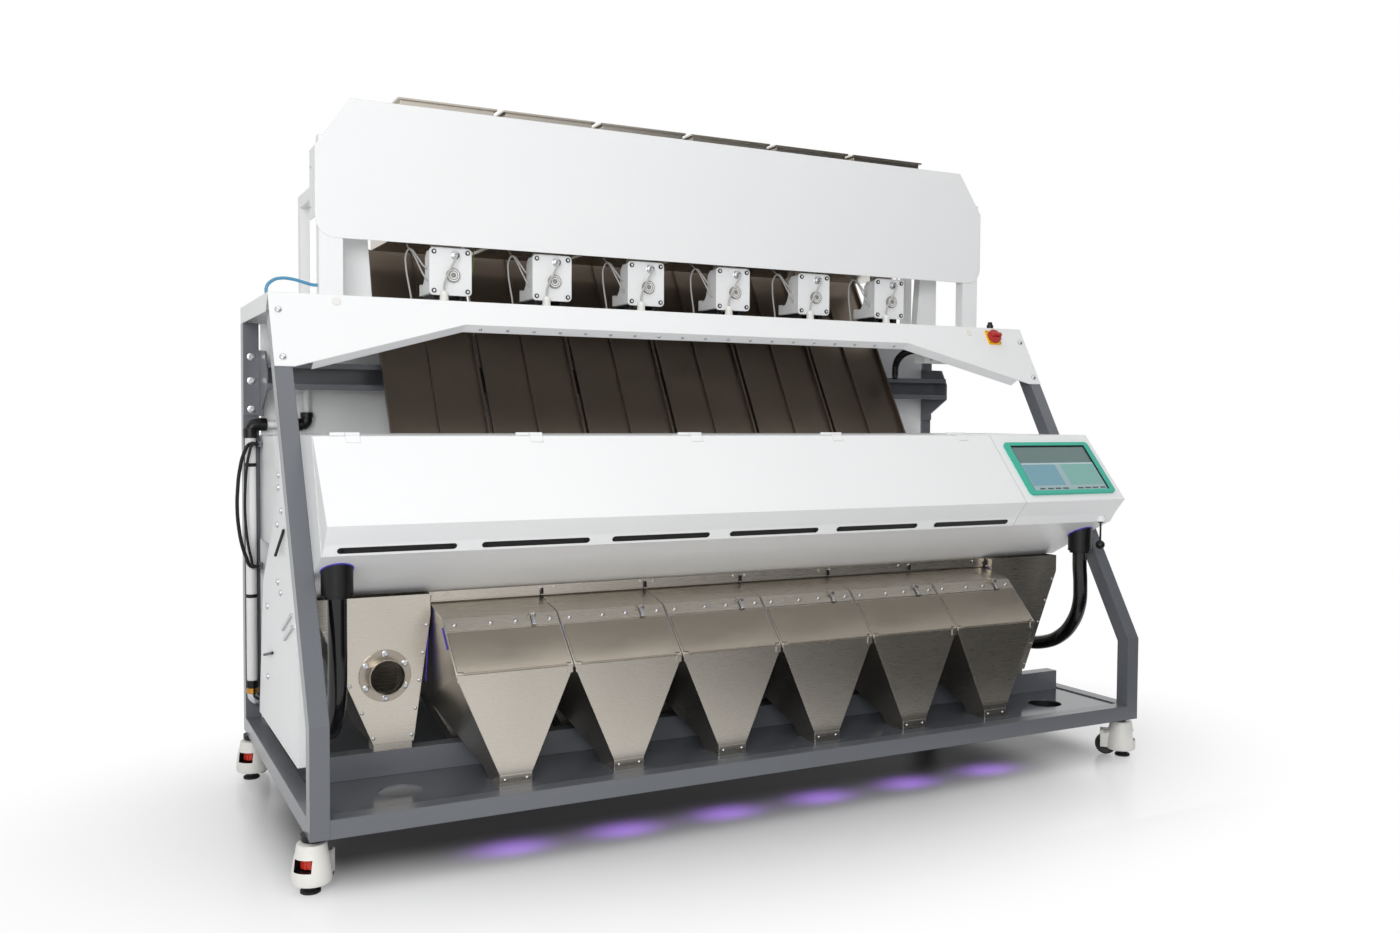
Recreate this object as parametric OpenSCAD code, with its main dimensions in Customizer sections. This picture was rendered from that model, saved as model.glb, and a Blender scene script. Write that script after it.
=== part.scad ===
// Optical sorting machine with six inclined chutes, built as separate pieces in one frame.
// X runs along the row of chutes, the front faces -Y, Z is up and the floor is Z = 0.

/* [Frame] */
// Width over the outer faces of the legs
machine_w = 2872; // [2600:2:3200]
// Side of the square tube
tube = 50; // [40:1:60]
// Wall of the square tube
tube_wall = 4; // [3:0.5:6]
// Depth from the front of the legs to the back of the rear posts
frame_d = 1250; // [1240:1:1400]
// Height of the tubes above the floor
caster_h = 145; // [140:1:160]
// Height where the front legs start to lean back
bend_z = 435; // [400:1:460]
// Lean of the front legs
lean_deg = 29.4; // [27:0.1:30]
// Top of the bridge beam and the feed deck
bridge_top = 1575; // [1555:1:1590]
// Depth of the end gussets of the bridge beam
gusset_h = 221; // [180:1:240]
// Depth of the bridge beam at mid span
bridge_h = 76; // [60:1:110]

/* [Feed] */
// Distance between neighbouring chutes
pitch = 345; // [340:1:350]
// Width of the fascia
fascia_w = 2574; // [2550:2:2600]
// Height of the fascia
fascia_h = 426; // [400:1:440]
// Width of one feed bin
bin_w = 305; // [280:1:312]
// Height of the bin rims above the floor
bin_top = 2217; // [2200:1:2240]
// Width of a feeder drive plate
drive_w = 138; // [120:1:150]
// Height of a feeder drive plate
drive_h = 152; // [140:1:152]

/* [Chutes] */
// Lean of the sorting chutes
chute_lean = 30; // [29:0.1:31]
// Width of one chute
chute_w = 333; // [320:1:334]
// Height of the chute edges
chute_edge = 14; // [8:1:18]

/* [Optics] */
// Top of the optics box
box_top = 1160; // [1145:1:1170]
// Height of the nose of the front cover
nose_z = 934; // [915:1:945]
// Reach of the nose behind the front face of the legs
nose_y = 30; // [20:1:45]
// Sheet thickness of the covers
sheet = 3; // [2:0.5:4]
// Width of the operator console
console_w = 454; // [440:1:480]
// Width of the screen
screen_w = 350; // [300:1:360]
// Height of the screen
screen_h = 200; // [170:1:204]

/* [Outlets] */
// Height of the sample door hinges
hinge_z = 512; // [500:1:520]
// Width of the front spouts
spout_w = 95; // [80:1:120]
// Sheet thickness of the outlets
outlet_t = 2; // [1.5:0.5:3]
// Length of a sample door up its slope
door_l = 140; // [120:1:142]
// Bore radius of the dust port
port_r = 48; // [40:1:52]

/* [Casters] */
// Radius of a caster wheel
wheel_r = 37; // [32:0.5:38]
// Width of a caster wheel
wheel_w = 30; // [26:1:32]
// Radius of a levelling pad
pad_r = 26; // [22:1:28]

/* [Hidden] */
$fn = 48;
modules = 6;
half_w = machine_w / 2;
inner_x = half_w - tube;
mid_y = (frame_d + 2) / 2;
rear_y = frame_d - tube;
side_x = half_w - tube / 2;
panel_y = rear_y - 141;
rail_front = 0;
deck_z = caster_h + tube - 4;
deck_t = 4;
lean_y0 = (bridge_top - bend_z) * tan(lean_deg);
leg_top = bridge_top - 60;
post_top = bridge_top - 53;
gusset_z = bridge_top - gusset_h;
bridge_z = bridge_top - bridge_h;
flat_x = half_w * 0.595;
bridge_t = 3;
lean_s1 = (bridge_top - bend_z) / cos(lean_deg);
lean_s0 = (gusset_z - bend_z) / cos(lean_deg);
lean_sm = (bridge_z - bend_z) / cos(lean_deg);
// Return flange under the bridge: its depth and where it ends on the sloped edges
flange_d = 40;
flange_x = inner_x - 60;
flange_s = lean_sm + (lean_s0 - lean_sm) * (flange_x - flat_x) / (inner_x - 6 - flat_x);
row_w = modules * pitch;
// Chute line: front surface passes this point
chute_y = rear_y - 345;
chute_z = box_top;
chute_s0 = -225;
chute_s1 = 735;
beam_y = rear_y - 174;
beam_z0 = 1301;
beam_z1 = 1387;
// Feed section
fascia_y = chute_y - 145;
fascia_z0 = bridge_top + 182;
fascia_z1 = fascia_z0 + fascia_h;
fascia_cx = 106;
fascia_cz = 153;
drive_y = chute_y - 121;
drive_z = bridge_top + 27;
tray_z = drive_z + 156 + 27;
tray_y0 = chute_y - 55;
tray_y1 = chute_y + 303;
// Feed bins: front and back, mouth over the tray, hip where the walls start to slope
bin_y0 = chute_y - 93;
bin_y1 = chute_y + 275;
bin_mouth = tray_z + 45;
bin_hip = tray_z + 120;
rail_z = bin_hip + (bin_top - bin_hip) * 55 / 312;
rail_h = 40;
// Front box and cover profile, as [y, z]
box_x = inner_x - 2;
face_top = [nose_y + 194, box_top];
nose = [nose_y, nose_z];
chin = [nose_y + 45, nose_z - 52];
lip = [nose_y + 66, nose_z - 84];
belly = [385, 705];
belly_rear = [428, 705];
box_rear = [chute_y - 55, box_top];
face_deg = atan2(face_top[0] - nose[0], face_top[1] - nose[1]);
face_len = norm(face_top - nose);
seam_x = box_x - console_w;
cover_w = seam_x + box_x - 2;
screen_x = seam_x + 230;
screen_s = face_len * 0.48;
hinge_c = [face_top[0] + 2, box_top + 5];
cover_hinges = [for (k = [0:4]) -box_x + 84 + k * (cover_w - 232) / 4];
optics_x = inner_x - 86;
// Outlets: the door slope runs from the hinge to the knee, the upper sheet from there to the shelf
hinge_y = 98;
knee = [236, 644];
shelf = [372, 674];
slope_deg = atan2(knee[1] - hinge_z, knee[0] - hinge_y);
slope_l = norm(knee - [hinge_y, hinge_z]);
out_top = 690;
out_w = pitch / 2 - 1.5;
foot_h = 28;
crotch = [392, 392];
drop_deg = atan2(hinge_z - crotch[1] + 4, crotch[0] - hinge_y);
rear_leg_y0 = 400;
rear_leg_y1 = 545;
rear_spout_w = 140;
door_axis = [-2, 3.6];
latch_dx = 92;
latch_s = door_l + 42;
latch_n = 9;
// End funnels, the tube that they stand on and the dust port
funnel_y = 330;
funnel_z = 285;
funnel_x0 = row_w / 2 + 5;
funnel_x1 = inner_x - 31;
funnel_w = funnel_x1 - funnel_x0;
funnel_b0 = funnel_x0 + funnel_w * 50 / 315;
funnel_b1 = funnel_x1 - funnel_w * 150 / 315;
riser_y = funnel_y + 5;
riser_h = 72;
port_x = 26.5 - (funnel_x0 + funnel_x1) / 2;
port_z = 480;
// Rear box profile
rear_z0 = 800;
rear_z1 = 1150;
rear_hinges = [-900, 0, 900];
rear_yz = [[chute_y - 151, rear_z0], [rear_y, rear_z0], [rear_y, rear_z1], [chute_y + 50, rear_z1]];
// Casters: place of the swivel axis and the resting turn of each
caster_x = inner_x + tube / 2;
caster_y = [72, 72, frame_d - 72, frame_d - 72];
caster_s = [-1, 1, -1, 1];
caster_turn = [-42, 45, -38, 40];
pad_off = 22;
wheel_off = 36;
cup_z = caster_h - 17;
wheel_z = wheel_r + 2;
// Colours
frame_grey = [0.34, 0.35, 0.37];
panel_white = [0.94, 0.95, 0.95];
steel = [0.72, 0.70, 0.66];
anodised = [0.23, 0.20, 0.18];
black = [0.06, 0.06, 0.06];
// Routes of the hoses and cables, as [x, y, z]
hose_x = inner_x - 56;
hose_y = 186;
left_hose = [[-hose_x, hose_y, 738], [-hose_x, hose_y, 640], [-hose_x, hose_y, 540], [-hose_x, 200, 450],
    [-hose_x, 250, 380], [-hose_x, 340, 335], [-hose_x, 450, 320], [-hose_x, 570, 330], [-hose_x, 690, 380],
    [-hose_x, 790, 460], [-hose_x, 860, 560], [-hose_x, 892, 660], [-hose_x, 900, 740], [-hose_x, 900, rear_z0]];
right_hose = [[hose_x, hose_y, 738], [hose_x, hose_y, 690], [hose_x, 180, 610], [hose_x, 184, 540],
    [hose_x, 215, 470], [hose_x, 275, 410], [hose_x, 360, 372], [hose_x, 460, 358], [hose_x, 570, 368],
    [hose_x, 690, 405], [hose_x, 790, 475], [hose_x, 860, 565], [hose_x, 892, 660], [hose_x, 900, 740],
    [hose_x, 900, rear_z0]];
// Cable that hangs between two tabs of the left rear post
loop_cable = [for (p = [[38, 1120], [12, 1120], [-6, 1090], [-20, 1035], [-27, 970], [-29, 910], [-24, 840],
    [-12, 775], [-2, 745], [12, 715], [38, 715]]) [p[0] - half_w, rear_y - 60, p[1]]];
// Air tube from the left end of the deck over to the left post of the hopper frame
blue_tube = [for (p = [[1, 0], [1, 24], [0.892, 44], [0.73, 53], [0.5, 52], [0.264, 44], [0.095, 38], [0, 38]])
    [-1276 - p[0] * (half_w - 1288), 740, bridge_top + p[1]]];
// Lead from the gland in front of a drive up to its connector
drive_lead = [for (p = [[-27, -18, 9], [-27, -18, 21], [-25, -22, 41], [-18, -28, 63], [-6, -32, 89], [5, -33, 112],
    [12, -30, 125], [13, -22, 128], [13, -14, 128]]) [p[0], drive_y + p[1], drive_z + drive_h / 2 - 76 + p[2]]];

// Middle of module i along the row
function mod_x(i) = (i - (modules - 1) / 2) * pitch;
// Y of the front of the leaning legs at height z
function lean_y(z) = (z - bend_z) * tan(lean_deg);
function leg_back(z) = lean_y(z) + tube / cos(lean_deg);
// Y of the back of the chutes at height z
function chute_back(z) = chute_y + (z - chute_z) * tan(chute_lean) + 4 / cos(chute_lean);
function unit(v) = v / norm(v);
function left_of(v) = [-v[1], v[0]];
// Outline of a leg between offsets a and b from its front face
function leg_path(a, b, z0, z1) = [[a, z0], [b, z0], [b, bend_z - b * tan(lean_deg / 2)],
    [lean_y(z1) + b * cos(lean_deg), z1 - b * sin(lean_deg)],
    [lean_y(z1) + a * cos(lean_deg), z1 - a * sin(lean_deg)], [a, bend_z - a * tan(lean_deg / 2)]];
// Corner shift that keeps a wall of even thickness, from the directions of its two edges
function corner(u, v) = (left_of(u) + left_of(v)) / (1 + u * v);
// Closed outline moved inwards by d, for points in counter-clockwise order
function inset(p, d) = [for (i = [0:len(p) - 1])
    let (a = p[(i + len(p) - 1) % len(p)], b = p[i], c = p[(i + 1) % len(p)])
    b + d * corner(unit(b - a), unit(c - b))];
// Direction of the edge after point i of an open path, held at its ends
function edge(p, i) = unit(p[max(min(i, len(p) - 2), 0) + 1] - p[max(min(i, len(p) - 2), 0)]);
// Folded sheet of thickness t on the left of an open path
function ribbon(p, t) = concat(p, [for (i = [len(p) - 1:-1:0]) p[i] + t * corner(edge(p, i - 1), edge(p, i))]);
// Rings of a round tube along a route
function heading(p, i) = unit(p[min(i + 1, len(p) - 1)] - p[max(i - 1, 0)]);
function side_of(h, k) = unit(cross(h, k));
function ring(p, i, r, n, k) = let (h = heading(p, i), a = side_of(h, k), b = cross(h, a))
    [for (j = [0:n - 1]) p[i] + r * (cos(360 * j / n) * a + sin(360 * j / n) * b)];

// Route swept as one closed tube; k is a direction that the route never follows
module cable(p, r, n, k) {
    pts = [for (i = [0:len(p) - 1]) for (q = ring(p, i, r, n, k)) q];
    walls = [for (i = [0:len(p) - 2]) for (j = [0:n - 1])
        [i * n + j, (i + 1) * n + j, (i + 1) * n + (j + 1) % n, i * n + (j + 1) % n]];
    first = [for (j = [0:n - 1]) j];
    last = [for (j = [n - 1:-1:0]) (len(p) - 1) * n + j];
    polyhedron(points = pts, faces = concat(walls, [first, last]));
}

// All pieces are drawn from the front face of the legs, then centred
module in_frame() translate([0, -mid_y, 0]) children();

module both_sides() {
    children();
    mirror([1, 0, 0]) children();
}

// YZ outline extruded along X
module along_x(x0, x1, pts) translate([x0, 0, 0]) rotate([90, 0, 90]) linear_extrude(height = x1 - x0) polygon(pts);

// XZ outline extruded along Y
module along_y(y0, y1, pts) translate([0, y1, 0]) rotate([90, 0, 0]) linear_extrude(height = y1 - y0) polygon(pts);

module box(lo, hi) translate(lo) cube(hi - lo);

// Cylinders along X, along Y and along Z from a point
module rod_x(p, r, l) translate(p) rotate([0, 90, 0]) cylinder(r = r, h = l);
module rod_y(p, r, l) translate(p) rotate([-90, 0, 0]) cylinder(r = r, h = l);
module rod_z(p, r, l) translate(p) cylinder(r = r, h = l);

// Square-cornered tube between two corners, open along one axis
module tube_x(lo, hi) difference() {
    box(lo, hi);
    box(lo + [-1, tube_wall, tube_wall], hi - [-1, tube_wall, tube_wall]);
}

module tube_y(lo, hi) difference() {
    box(lo, hi);
    box(lo + [tube_wall, -1, tube_wall], hi - [tube_wall, -1, tube_wall]);
}

module tube_z(lo, hi) difference() {
    box(lo, hi);
    box(lo + [tube_wall, tube_wall, -1], hi - [tube_wall, tube_wall, -1]);
}

// Plate with round corners, drawn in the XY plane from z = 0
module round_plate(w, l, r, t) linear_extrude(height = t) union() {
    square([w - 2 * r, l], center = true);
    square([w, l - 2 * r], center = true);
    for (x = [-1, 1], y = [-1, 1]) translate([x * (w / 2 - r), y * (l / 2 - r)]) circle(r = r);
}

// Planes that pieces are drawn on: leaning bridge, front cover face, outlet slope, chute
module on_lean() translate([0, 0, bend_z]) rotate([90 - lean_deg, 0, 0]) children();
module on_face() translate([0, nose[0], nose[1]]) rotate([90 - face_deg, 0, 0]) children();
module on_slope(i) translate([mod_x(i), hinge_y, hinge_z]) rotate([slope_deg, 0, 0]) children();
module on_chute() translate([0, chute_y, chute_z]) rotate([90 - chute_lean, 0, 0]) children();

module front_legs() in_frame() color(frame_grey) both_sides() difference() {
    along_x(inner_x, half_w, leg_path(0, tube, caster_h, leg_top));
    along_x(inner_x + tube_wall, half_w - tube_wall,
        leg_path(tube_wall, tube - tube_wall, caster_h + tube_wall, leg_top + 2));
}

// Rear posts, with two tabs on the left one that hold the looped cable
module rear_posts() in_frame() color(frame_grey) {
    both_sides() tube_z([inner_x, rear_y, caster_h], [half_w, frame_d, post_top]);
    for (z = [705, 1110]) box([-inner_x - 12, rear_y - 70, z], [-inner_x, rear_y, z + 20]);
}

module base_rails() in_frame() color(frame_grey) {
    tube_x([-inner_x, rail_front, caster_h], [inner_x, rail_front + tube, caster_h + tube]);
    tube_x([-inner_x, rear_y, caster_h], [inner_x, frame_d, caster_h + tube]);
    both_sides() tube_y([inner_x, tube, caster_h], [half_w, rear_y, caster_h + tube]);
    tube_x([16 - inner_x, riser_y, deck_z], [inner_x - 16, riser_y + tube, deck_z + riser_h]);
}

module base_deck() in_frame() color(frame_grey) difference() {
    box([-inner_x, rail_front + tube, deck_z - deck_t], [inner_x, rear_y, deck_z]);
    both_sides() rod_z([inner_x - 221, 180, deck_z - deck_t - 1], 59, deck_t + 2);
    for (i = [0:modules - 1]) translate([mod_x(i), 0, deck_z]) {
        box([-spout_w / 2 + 6, hinge_y + 6, -deck_t - 1], [spout_w / 2 - 6, hinge_y + 84, 1]);
        box([-rear_spout_w / 2 + 6, rear_leg_y0 + 6, -deck_t - 1], [rear_spout_w / 2 - 6, rear_leg_y1 - 6, 1]);
    }
}

module caster_cups() in_frame() color(black) for (i = [0:3])
    translate([caster_s[i] * caster_x, caster_y[i], 0]) difference() {
        union() {
            rod_z([0, 0, cup_z + 4], 36.5, 13);
            rod_z([0, 0, cup_z], 33, 4);
        }
        rod_z([0, 0, cup_z - 1], 10.05, 13);
    }

// Front plate of the bridge with its return flanges
module bridge_beam() in_frame() color(panel_white) on_lean() {
    linear_extrude(height = bridge_t) polygon([[-half_w, lean_s1], [-half_w, lean_s0], [-inner_x + 6, lean_s0],
        [-flat_x, lean_sm], [flat_x, lean_sm], [inner_x - 6, lean_s0], [half_w, lean_s0], [half_w, lean_s1]]);
    translate([0, 0, -flange_d]) linear_extrude(height = flange_d) polygon(ribbon([[-flange_x, flange_s],
        [-flat_x, lean_sm], [flat_x, lean_sm], [flange_x, flange_s]], bridge_t));
}

// Tray that carries the feeders, with side and rear skirts and a terminal box under its right end
module feed_deck() in_frame() color(panel_white) {
    difference() {
        along_x(-half_w, half_w, [[lean_y0, bridge_top], [lean_y(bridge_top - 3), bridge_top - 3],
            [frame_d, bridge_top - 3], [frame_d, bridge_top]]);
        box([-row_w / 2 - 12, chute_y + 155, bridge_top - 4], [row_w / 2 + 12, rear_y - 6, bridge_top + 1]);
    }
    box([half_w - 421, lean_y0 + 63, bridge_top - 139], [half_w - 174, lean_y0 + 128, bridge_top - 3]);
    both_sides() along_x(half_w - 3, half_w, [[lean_y0 + 1, bridge_top - 3], [lean_y0 + 46, post_top],
        [frame_d, post_top], [frame_d, bridge_top - 3]]);
    box([-half_w, frame_d - 3, post_top], [half_w, frame_d, bridge_top - 3]);
    box([-half_w + 3, lean_y0 + 60, bridge_top - 43], [half_w - 3, lean_y0 + 63, bridge_top - 3]);
}

// Cross channel that carries the chutes, with a bolted bracket at each rear post
module chute_beam() in_frame() color(frame_grey) {
    along_x(-inner_x + 6, inner_x - 6, [[beam_y, beam_z0], [beam_y + 84, beam_z0], [beam_y + 84, beam_z1],
        [beam_y, beam_z1], [beam_y, beam_z1 - 18], [beam_y + 4, beam_z1 - 18], [beam_y + 4, beam_z1 - 4],
        [beam_y + 80, beam_z1 - 4], [beam_y + 80, beam_z0 + 4], [beam_y + 4, beam_z0 + 4],
        [beam_y + 4, beam_z0 + 18], [beam_y, beam_z0 + 18]]);
    both_sides() {
        along_x(inner_x - 6, inner_x, [[rear_y, 1213], [rear_y, 1433], [beam_y + 35, 1424], [beam_y, 1363],
            [beam_y, 1299], [rear_y - 61, 1235], [rear_y - 61, 1213]]);
        box([inner_x, rear_y - 6, 1213], [half_w, rear_y, post_top]);
    }
    for (i = [0:modules - 1]) translate([mod_x(i), 0, 0]) for (x = [-110, 110])
        along_x(x - 20, x + 20, [[chute_back(beam_z0 + 8), beam_z0 + 8], [beam_y + 2, beam_z0 + 8],
            [beam_y + 2, beam_z0 + 14], [chute_back(beam_z0 + 14), beam_z0 + 14]]);
}

module fascia_outline() union() {
    polygon([[-fascia_w / 2 + 60, fascia_z0], [fascia_w / 2 - 60, fascia_z0], [fascia_w / 2, fascia_z0 + 60],
        [fascia_w / 2, fascia_z1 - fascia_cz], [fascia_w / 2 - fascia_cx, fascia_z1],
        [-fascia_w / 2 + fascia_cx, fascia_z1], [-fascia_w / 2, fascia_z1 - fascia_cz],
        [-fascia_w / 2, fascia_z0 + 60]]);
    for (x = [-1, 1]) translate([x * (fascia_w / 2 - 60), fascia_z0 + 60]) circle(r = 60);
}

module hopper_fascia() in_frame() color(panel_white) {
    translate([0, fascia_y + sheet, 0]) rotate([90, 0, 0]) linear_extrude(height = sheet) fascia_outline();
    both_sides() box([fascia_w / 2 - 3, fascia_y + sheet, fascia_z0 + 60],
        [fascia_w / 2, fascia_y + 90, fascia_z1 - fascia_cz]);
    box([-fascia_w / 2 + fascia_cx, fascia_y + sheet, fascia_z1 - 3],
        [fascia_w / 2 - fascia_cx, fascia_y + 22, fascia_z1]);
}

// Posts and rails behind the fascia that hold the bins
module hopper_frame() in_frame() color(panel_white) {
    both_sides() {
        box([1204, fascia_y + sheet, bridge_top], [1276, fascia_y + 44, bridge_top + 490]);
        along_y(chute_y - 3, chute_y + 33, [[1085, bridge_top], [1182, bridge_top], [1182, bin_hip + 25],
            [1110, bin_hip + 25]]);
        tube_z([1232, bin_y1 - 10, bridge_top], [1262, bin_y1 + 30, bin_hip + rail_h]);
        box([1236, fascia_y + 44, bin_hip], [1262, bin_y1 - 10, bin_hip + rail_h]);
        box([1182, chute_y - 3, bin_hip], [1236, chute_y + 33, bin_hip + rail_h]);
    }
    box([-1262, bin_y0 - 31, rail_z], [1262, bin_y0, rail_z + rail_h]);
    box([-1232, bin_y1, bin_hip], [1232, bin_y1 + 30, bin_hip + rail_h]);
}

function bin_yz(e) = [[bin_y0, bin_top + e], [bin_y0, bin_hip], [bin_y0 + 88, bin_mouth],
    [bin_y0 + 88, bin_mouth - e], [bin_y1 - 90, bin_mouth - e], [bin_y1 - 90, bin_mouth], [bin_y1, bin_hip],
    [bin_y1, bin_top + e]];
function bin_xz(d) = [[-bin_w / 2 + d, bin_top + 40], [-bin_w / 2 + d, bin_hip + d], [-100 + d, bin_mouth + d],
    [-100 + d, tray_z - 5], [100 - d, tray_z - 5], [100 - d, bin_mouth + d], [bin_w / 2 - d, bin_hip + d],
    [bin_w / 2 - d, bin_top + 40]];

module feed_bins() in_frame() color(steel) for (i = [0:modules - 1]) translate([mod_x(i), 0, 0]) {
    difference() {
        intersection() {
            along_x(-bin_w, bin_w, bin_yz(0));
            along_y(bin_y0 - 60, bin_y1 + 60, bin_xz(0));
        }
        intersection() {
            along_x(-bin_w, bin_w, inset(bin_yz(10), 2));
            along_y(bin_y0 - 60, bin_y1 + 60, bin_xz(2));
        }
    }
    difference() {
        box([-bin_w / 2 - 9, bin_y0 - 9, bin_top - 6], [bin_w / 2 + 9, bin_y1 + 9, bin_top]);
        box([-bin_w / 2, bin_y0, bin_top - 7], [bin_w / 2, bin_y1, bin_top + 1]);
    }
}

// Drive unit under each feeder tray: front plate, casting with a foot that reaches back, rubber mounts on a base
module feeder_drives() in_frame() color(panel_white) for (i = [0:modules - 1])
    translate([mod_x(i), drive_y, drive_z + drive_h / 2]) {
        translate([0, 7, 0]) rotate([90, 0, 0]) round_plate(drive_w, drive_h, 14, 7);
        along_x(-drive_w / 2 + 7, drive_w / 2 - 7, [[7, 7 - drive_h / 2], [150, 7 - drive_h / 2],
            [150, 44 - drive_h / 2], [134, 44 - drive_h / 2], [122, 38 - drive_h / 2], [104, 42 - drive_h / 2],
            [90, 56 - drive_h / 2], [82, 76 - drive_h / 2], [80, drive_h / 2 - 25], [62, drive_h / 2 - 7],
            [7, drive_h / 2 - 7]]);
        box([-drive_w / 2 - 8, 12, -drive_h / 2 - 27], [drive_w / 2 + 8, 190, -drive_h / 2 - 15]);
        for (x = [-1, 1]) box([x * 44 - 8, 22, -drive_h / 2 - 15], [x * 44 + 8, 140, -drive_h / 2 + 12]);
        rod_y([6, -12, -12], 21, 12);
        rod_y([13, -14, 52], 11, 14);
        rod_z([-27, -18, -drive_h / 2 - 27], 13, 36);
        for (x = [-1, 1], z = [-1, 1]) rod_y([x * (drive_w / 2 - 14), -4, z * (drive_h / 2 - 14)], 7, 4);
    }

// Vibrating trays on leaf springs above the drives, open at the back
module feeder_trays() in_frame() color(steel) for (i = [0:modules - 1]) translate([mod_x(i), 0, tray_z]) {
    difference() {
        box([-160, tray_y0, 0], [160, tray_y1, 38]);
        box([-158, tray_y0 + 2, 2], [158, tray_y1 + 2, 40]);
    }
    box([-50, tray_y0 - 13, drive_z + drive_h - 6.7 - tray_z], [50, tray_y0 - 7, -2]);
    box([-50, tray_y0 - 13, -2], [50, tray_y0 + 60, 0]);
}

module sorting_chutes() in_frame() color(anodised) on_chute() for (i = [0:modules - 1])
    translate([mod_x(i), chute_s1, -4]) rotate([90, 0, 0]) linear_extrude(height = chute_s1 - chute_s0)
        polygon([[-chute_w / 2, 0], [chute_w / 2, 0], [chute_w / 2, chute_edge + 4],
            [chute_w / 2 - 7, chute_edge + 4], [chute_w / 2 - 7, 4], [4, 4], [4, chute_edge], [-4, chute_edge],
            [-4, 4], [-chute_w / 2 + 7, 4], [-chute_w / 2 + 7, chute_edge + 4], [-chute_w / 2, chute_edge + 4]]);

// Housing under and behind the front cover
module optics_box() in_frame() color(panel_white) {
    difference() {
        along_x(-inner_x, inner_x, ribbon([lip + [4, 0], belly, belly_rear, box_rear, face_top + [4, 0]], sheet));
        both_sides() box([300, 470, 760], [row_w / 2 - 40, 760, 1000]);
        box([-270, 470, 760], [270, 760, 1000]);
    }
    both_sides() along_x(inner_x - sheet, inner_x, [lip + [4, 0], belly, belly_rear, box_rear, face_top + [4, 0]]);
    for (x = cover_hinges) {
        box([x - 40, hinge_c[0], box_top], [x - 1, hinge_c[0] + 30, box_top + 2]);
        rod_x([x - 40, hinge_c[0], hinge_c[1]], 5, 39);
        rod_x([x - 1, hinge_c[0], hinge_c[1]], 2.5, 38);
    }
}

// Long front cover, hinged along its top edge, with a row of slots under its nose
module optics_cover() in_frame() color(panel_white) {
    difference() {
        along_x(-box_x, seam_x - 2, ribbon([face_top, nose, chin, lip], sheet));
        for (i = [0:modules - 1]) translate([-box_x + cover_w * (i + 0.5) / modules, (chin[0] + lip[0]) / 2,
            (chin[1] + lip[1]) / 2]) rotate([atan2(lip[1] - chin[1], lip[0] - chin[0]), 0, 0])
            translate([0, 0, -8]) linear_extrude(height = 16) union() {
                square([cover_w / modules - 88, 13], center = true);
                for (s = [-1, 1]) translate([s * (cover_w / modules - 88) / 2, 0]) circle(d = 13);
            }
    }
    along_x(-box_x, -box_x + sheet, [face_top, nose, chin, lip]);
    along_x(seam_x - 2 - sheet, seam_x - 2, [face_top, nose, chin, lip]);
    for (x = cover_hinges) difference() {
        union() {
            rod_x([x, hinge_c[0], hinge_c[1]], 5, 39);
            on_face() box([x, face_len - 24, 0], [x + 39, face_len + 3, 2]);
        }
        rod_x([x - 1, hinge_c[0], hinge_c[1]], 2.55, 41);
    }
}

// Fixed cover at the operator's end, with the socket of the hanging knob
module console_cover() in_frame() color(panel_white) difference() {
    union() {
        along_x(seam_x, inner_x, ribbon([face_top, nose, chin, lip], sheet));
        along_x(inner_x - sheet, inner_x, [face_top + [4, 0], face_top, nose, chin, lip, lip + [4, 0]]);
        along_x(seam_x, seam_x + sheet, [face_top, nose, chin, lip]);
        rod_z([hose_x, chin[0] + 12, lip[1] + 2], 15, 22);
    }
    rod_z([hose_x, chin[0] + 12, lip[1] - 1], 4.3, 22);
}

module screen_bezel() in_frame() color([0.18, 0.70, 0.61]) on_face() translate([screen_x, screen_s, 0])
    difference() {
        round_plate(screen_w + 45, screen_h + 29, 14, 9);
        translate([0, 0, -1]) round_plate(screen_w, screen_h, 4, 12);
    }

module touch_screen() in_frame() color([0.55, 0.66, 0.70]) on_face() translate([screen_x, screen_s, 0])
    round_plate(screen_w, screen_h, 4, 4);

module release_knob() in_frame() color(black) translate([hose_x, chin[0] + 12, 0]) {
    rod_z([0, 0, lip[1] - 72], 3.5, 86);
    rod_z([0, 0, lip[1] - 3], 9, 3);
    translate([0, 0, lip[1] - 82]) sphere(r = 16);
}

// Trouser outline of one outlet, as [y, z]; e lengthens it past its open ends
function outlet_yz(e) = [[shelf[0], out_top + e], shelf, knee, [hinge_y, hinge_z], [hinge_y, deck_z - e],
    [hinge_y + 90, deck_z - e], [hinge_y + 90, 226], crotch, [rear_leg_y0, crotch[1]], [rear_leg_y0, deck_z - e],
    [rear_leg_y1, deck_z - e], [rear_leg_y1, 400], [800 + e * 0.88, out_top + e]];

// What lies outside a side that tapers over the drop h to the half width w
function beside(w, h, d) = [[w, -h], [w, -600], [out_w + 90, -600], [out_w + 90, (90 + d) * h / (out_w - d - w)]];

module outlet_form(pts, d) difference() {
    along_x(-out_w + d, out_w - d, pts);
    both_sides() {
        translate([0, hinge_y, hinge_z - 4]) rotate([90 - drop_deg, 0, 0]) translate([0, 0, -318])
            linear_extrude(height = 420) polygon(beside(spout_w / 2 - d, 265, d));
        translate([0, 0, 395]) along_y(396, 1000, beside(rear_spout_w / 2 - d, 170, d));
    }
}

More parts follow.
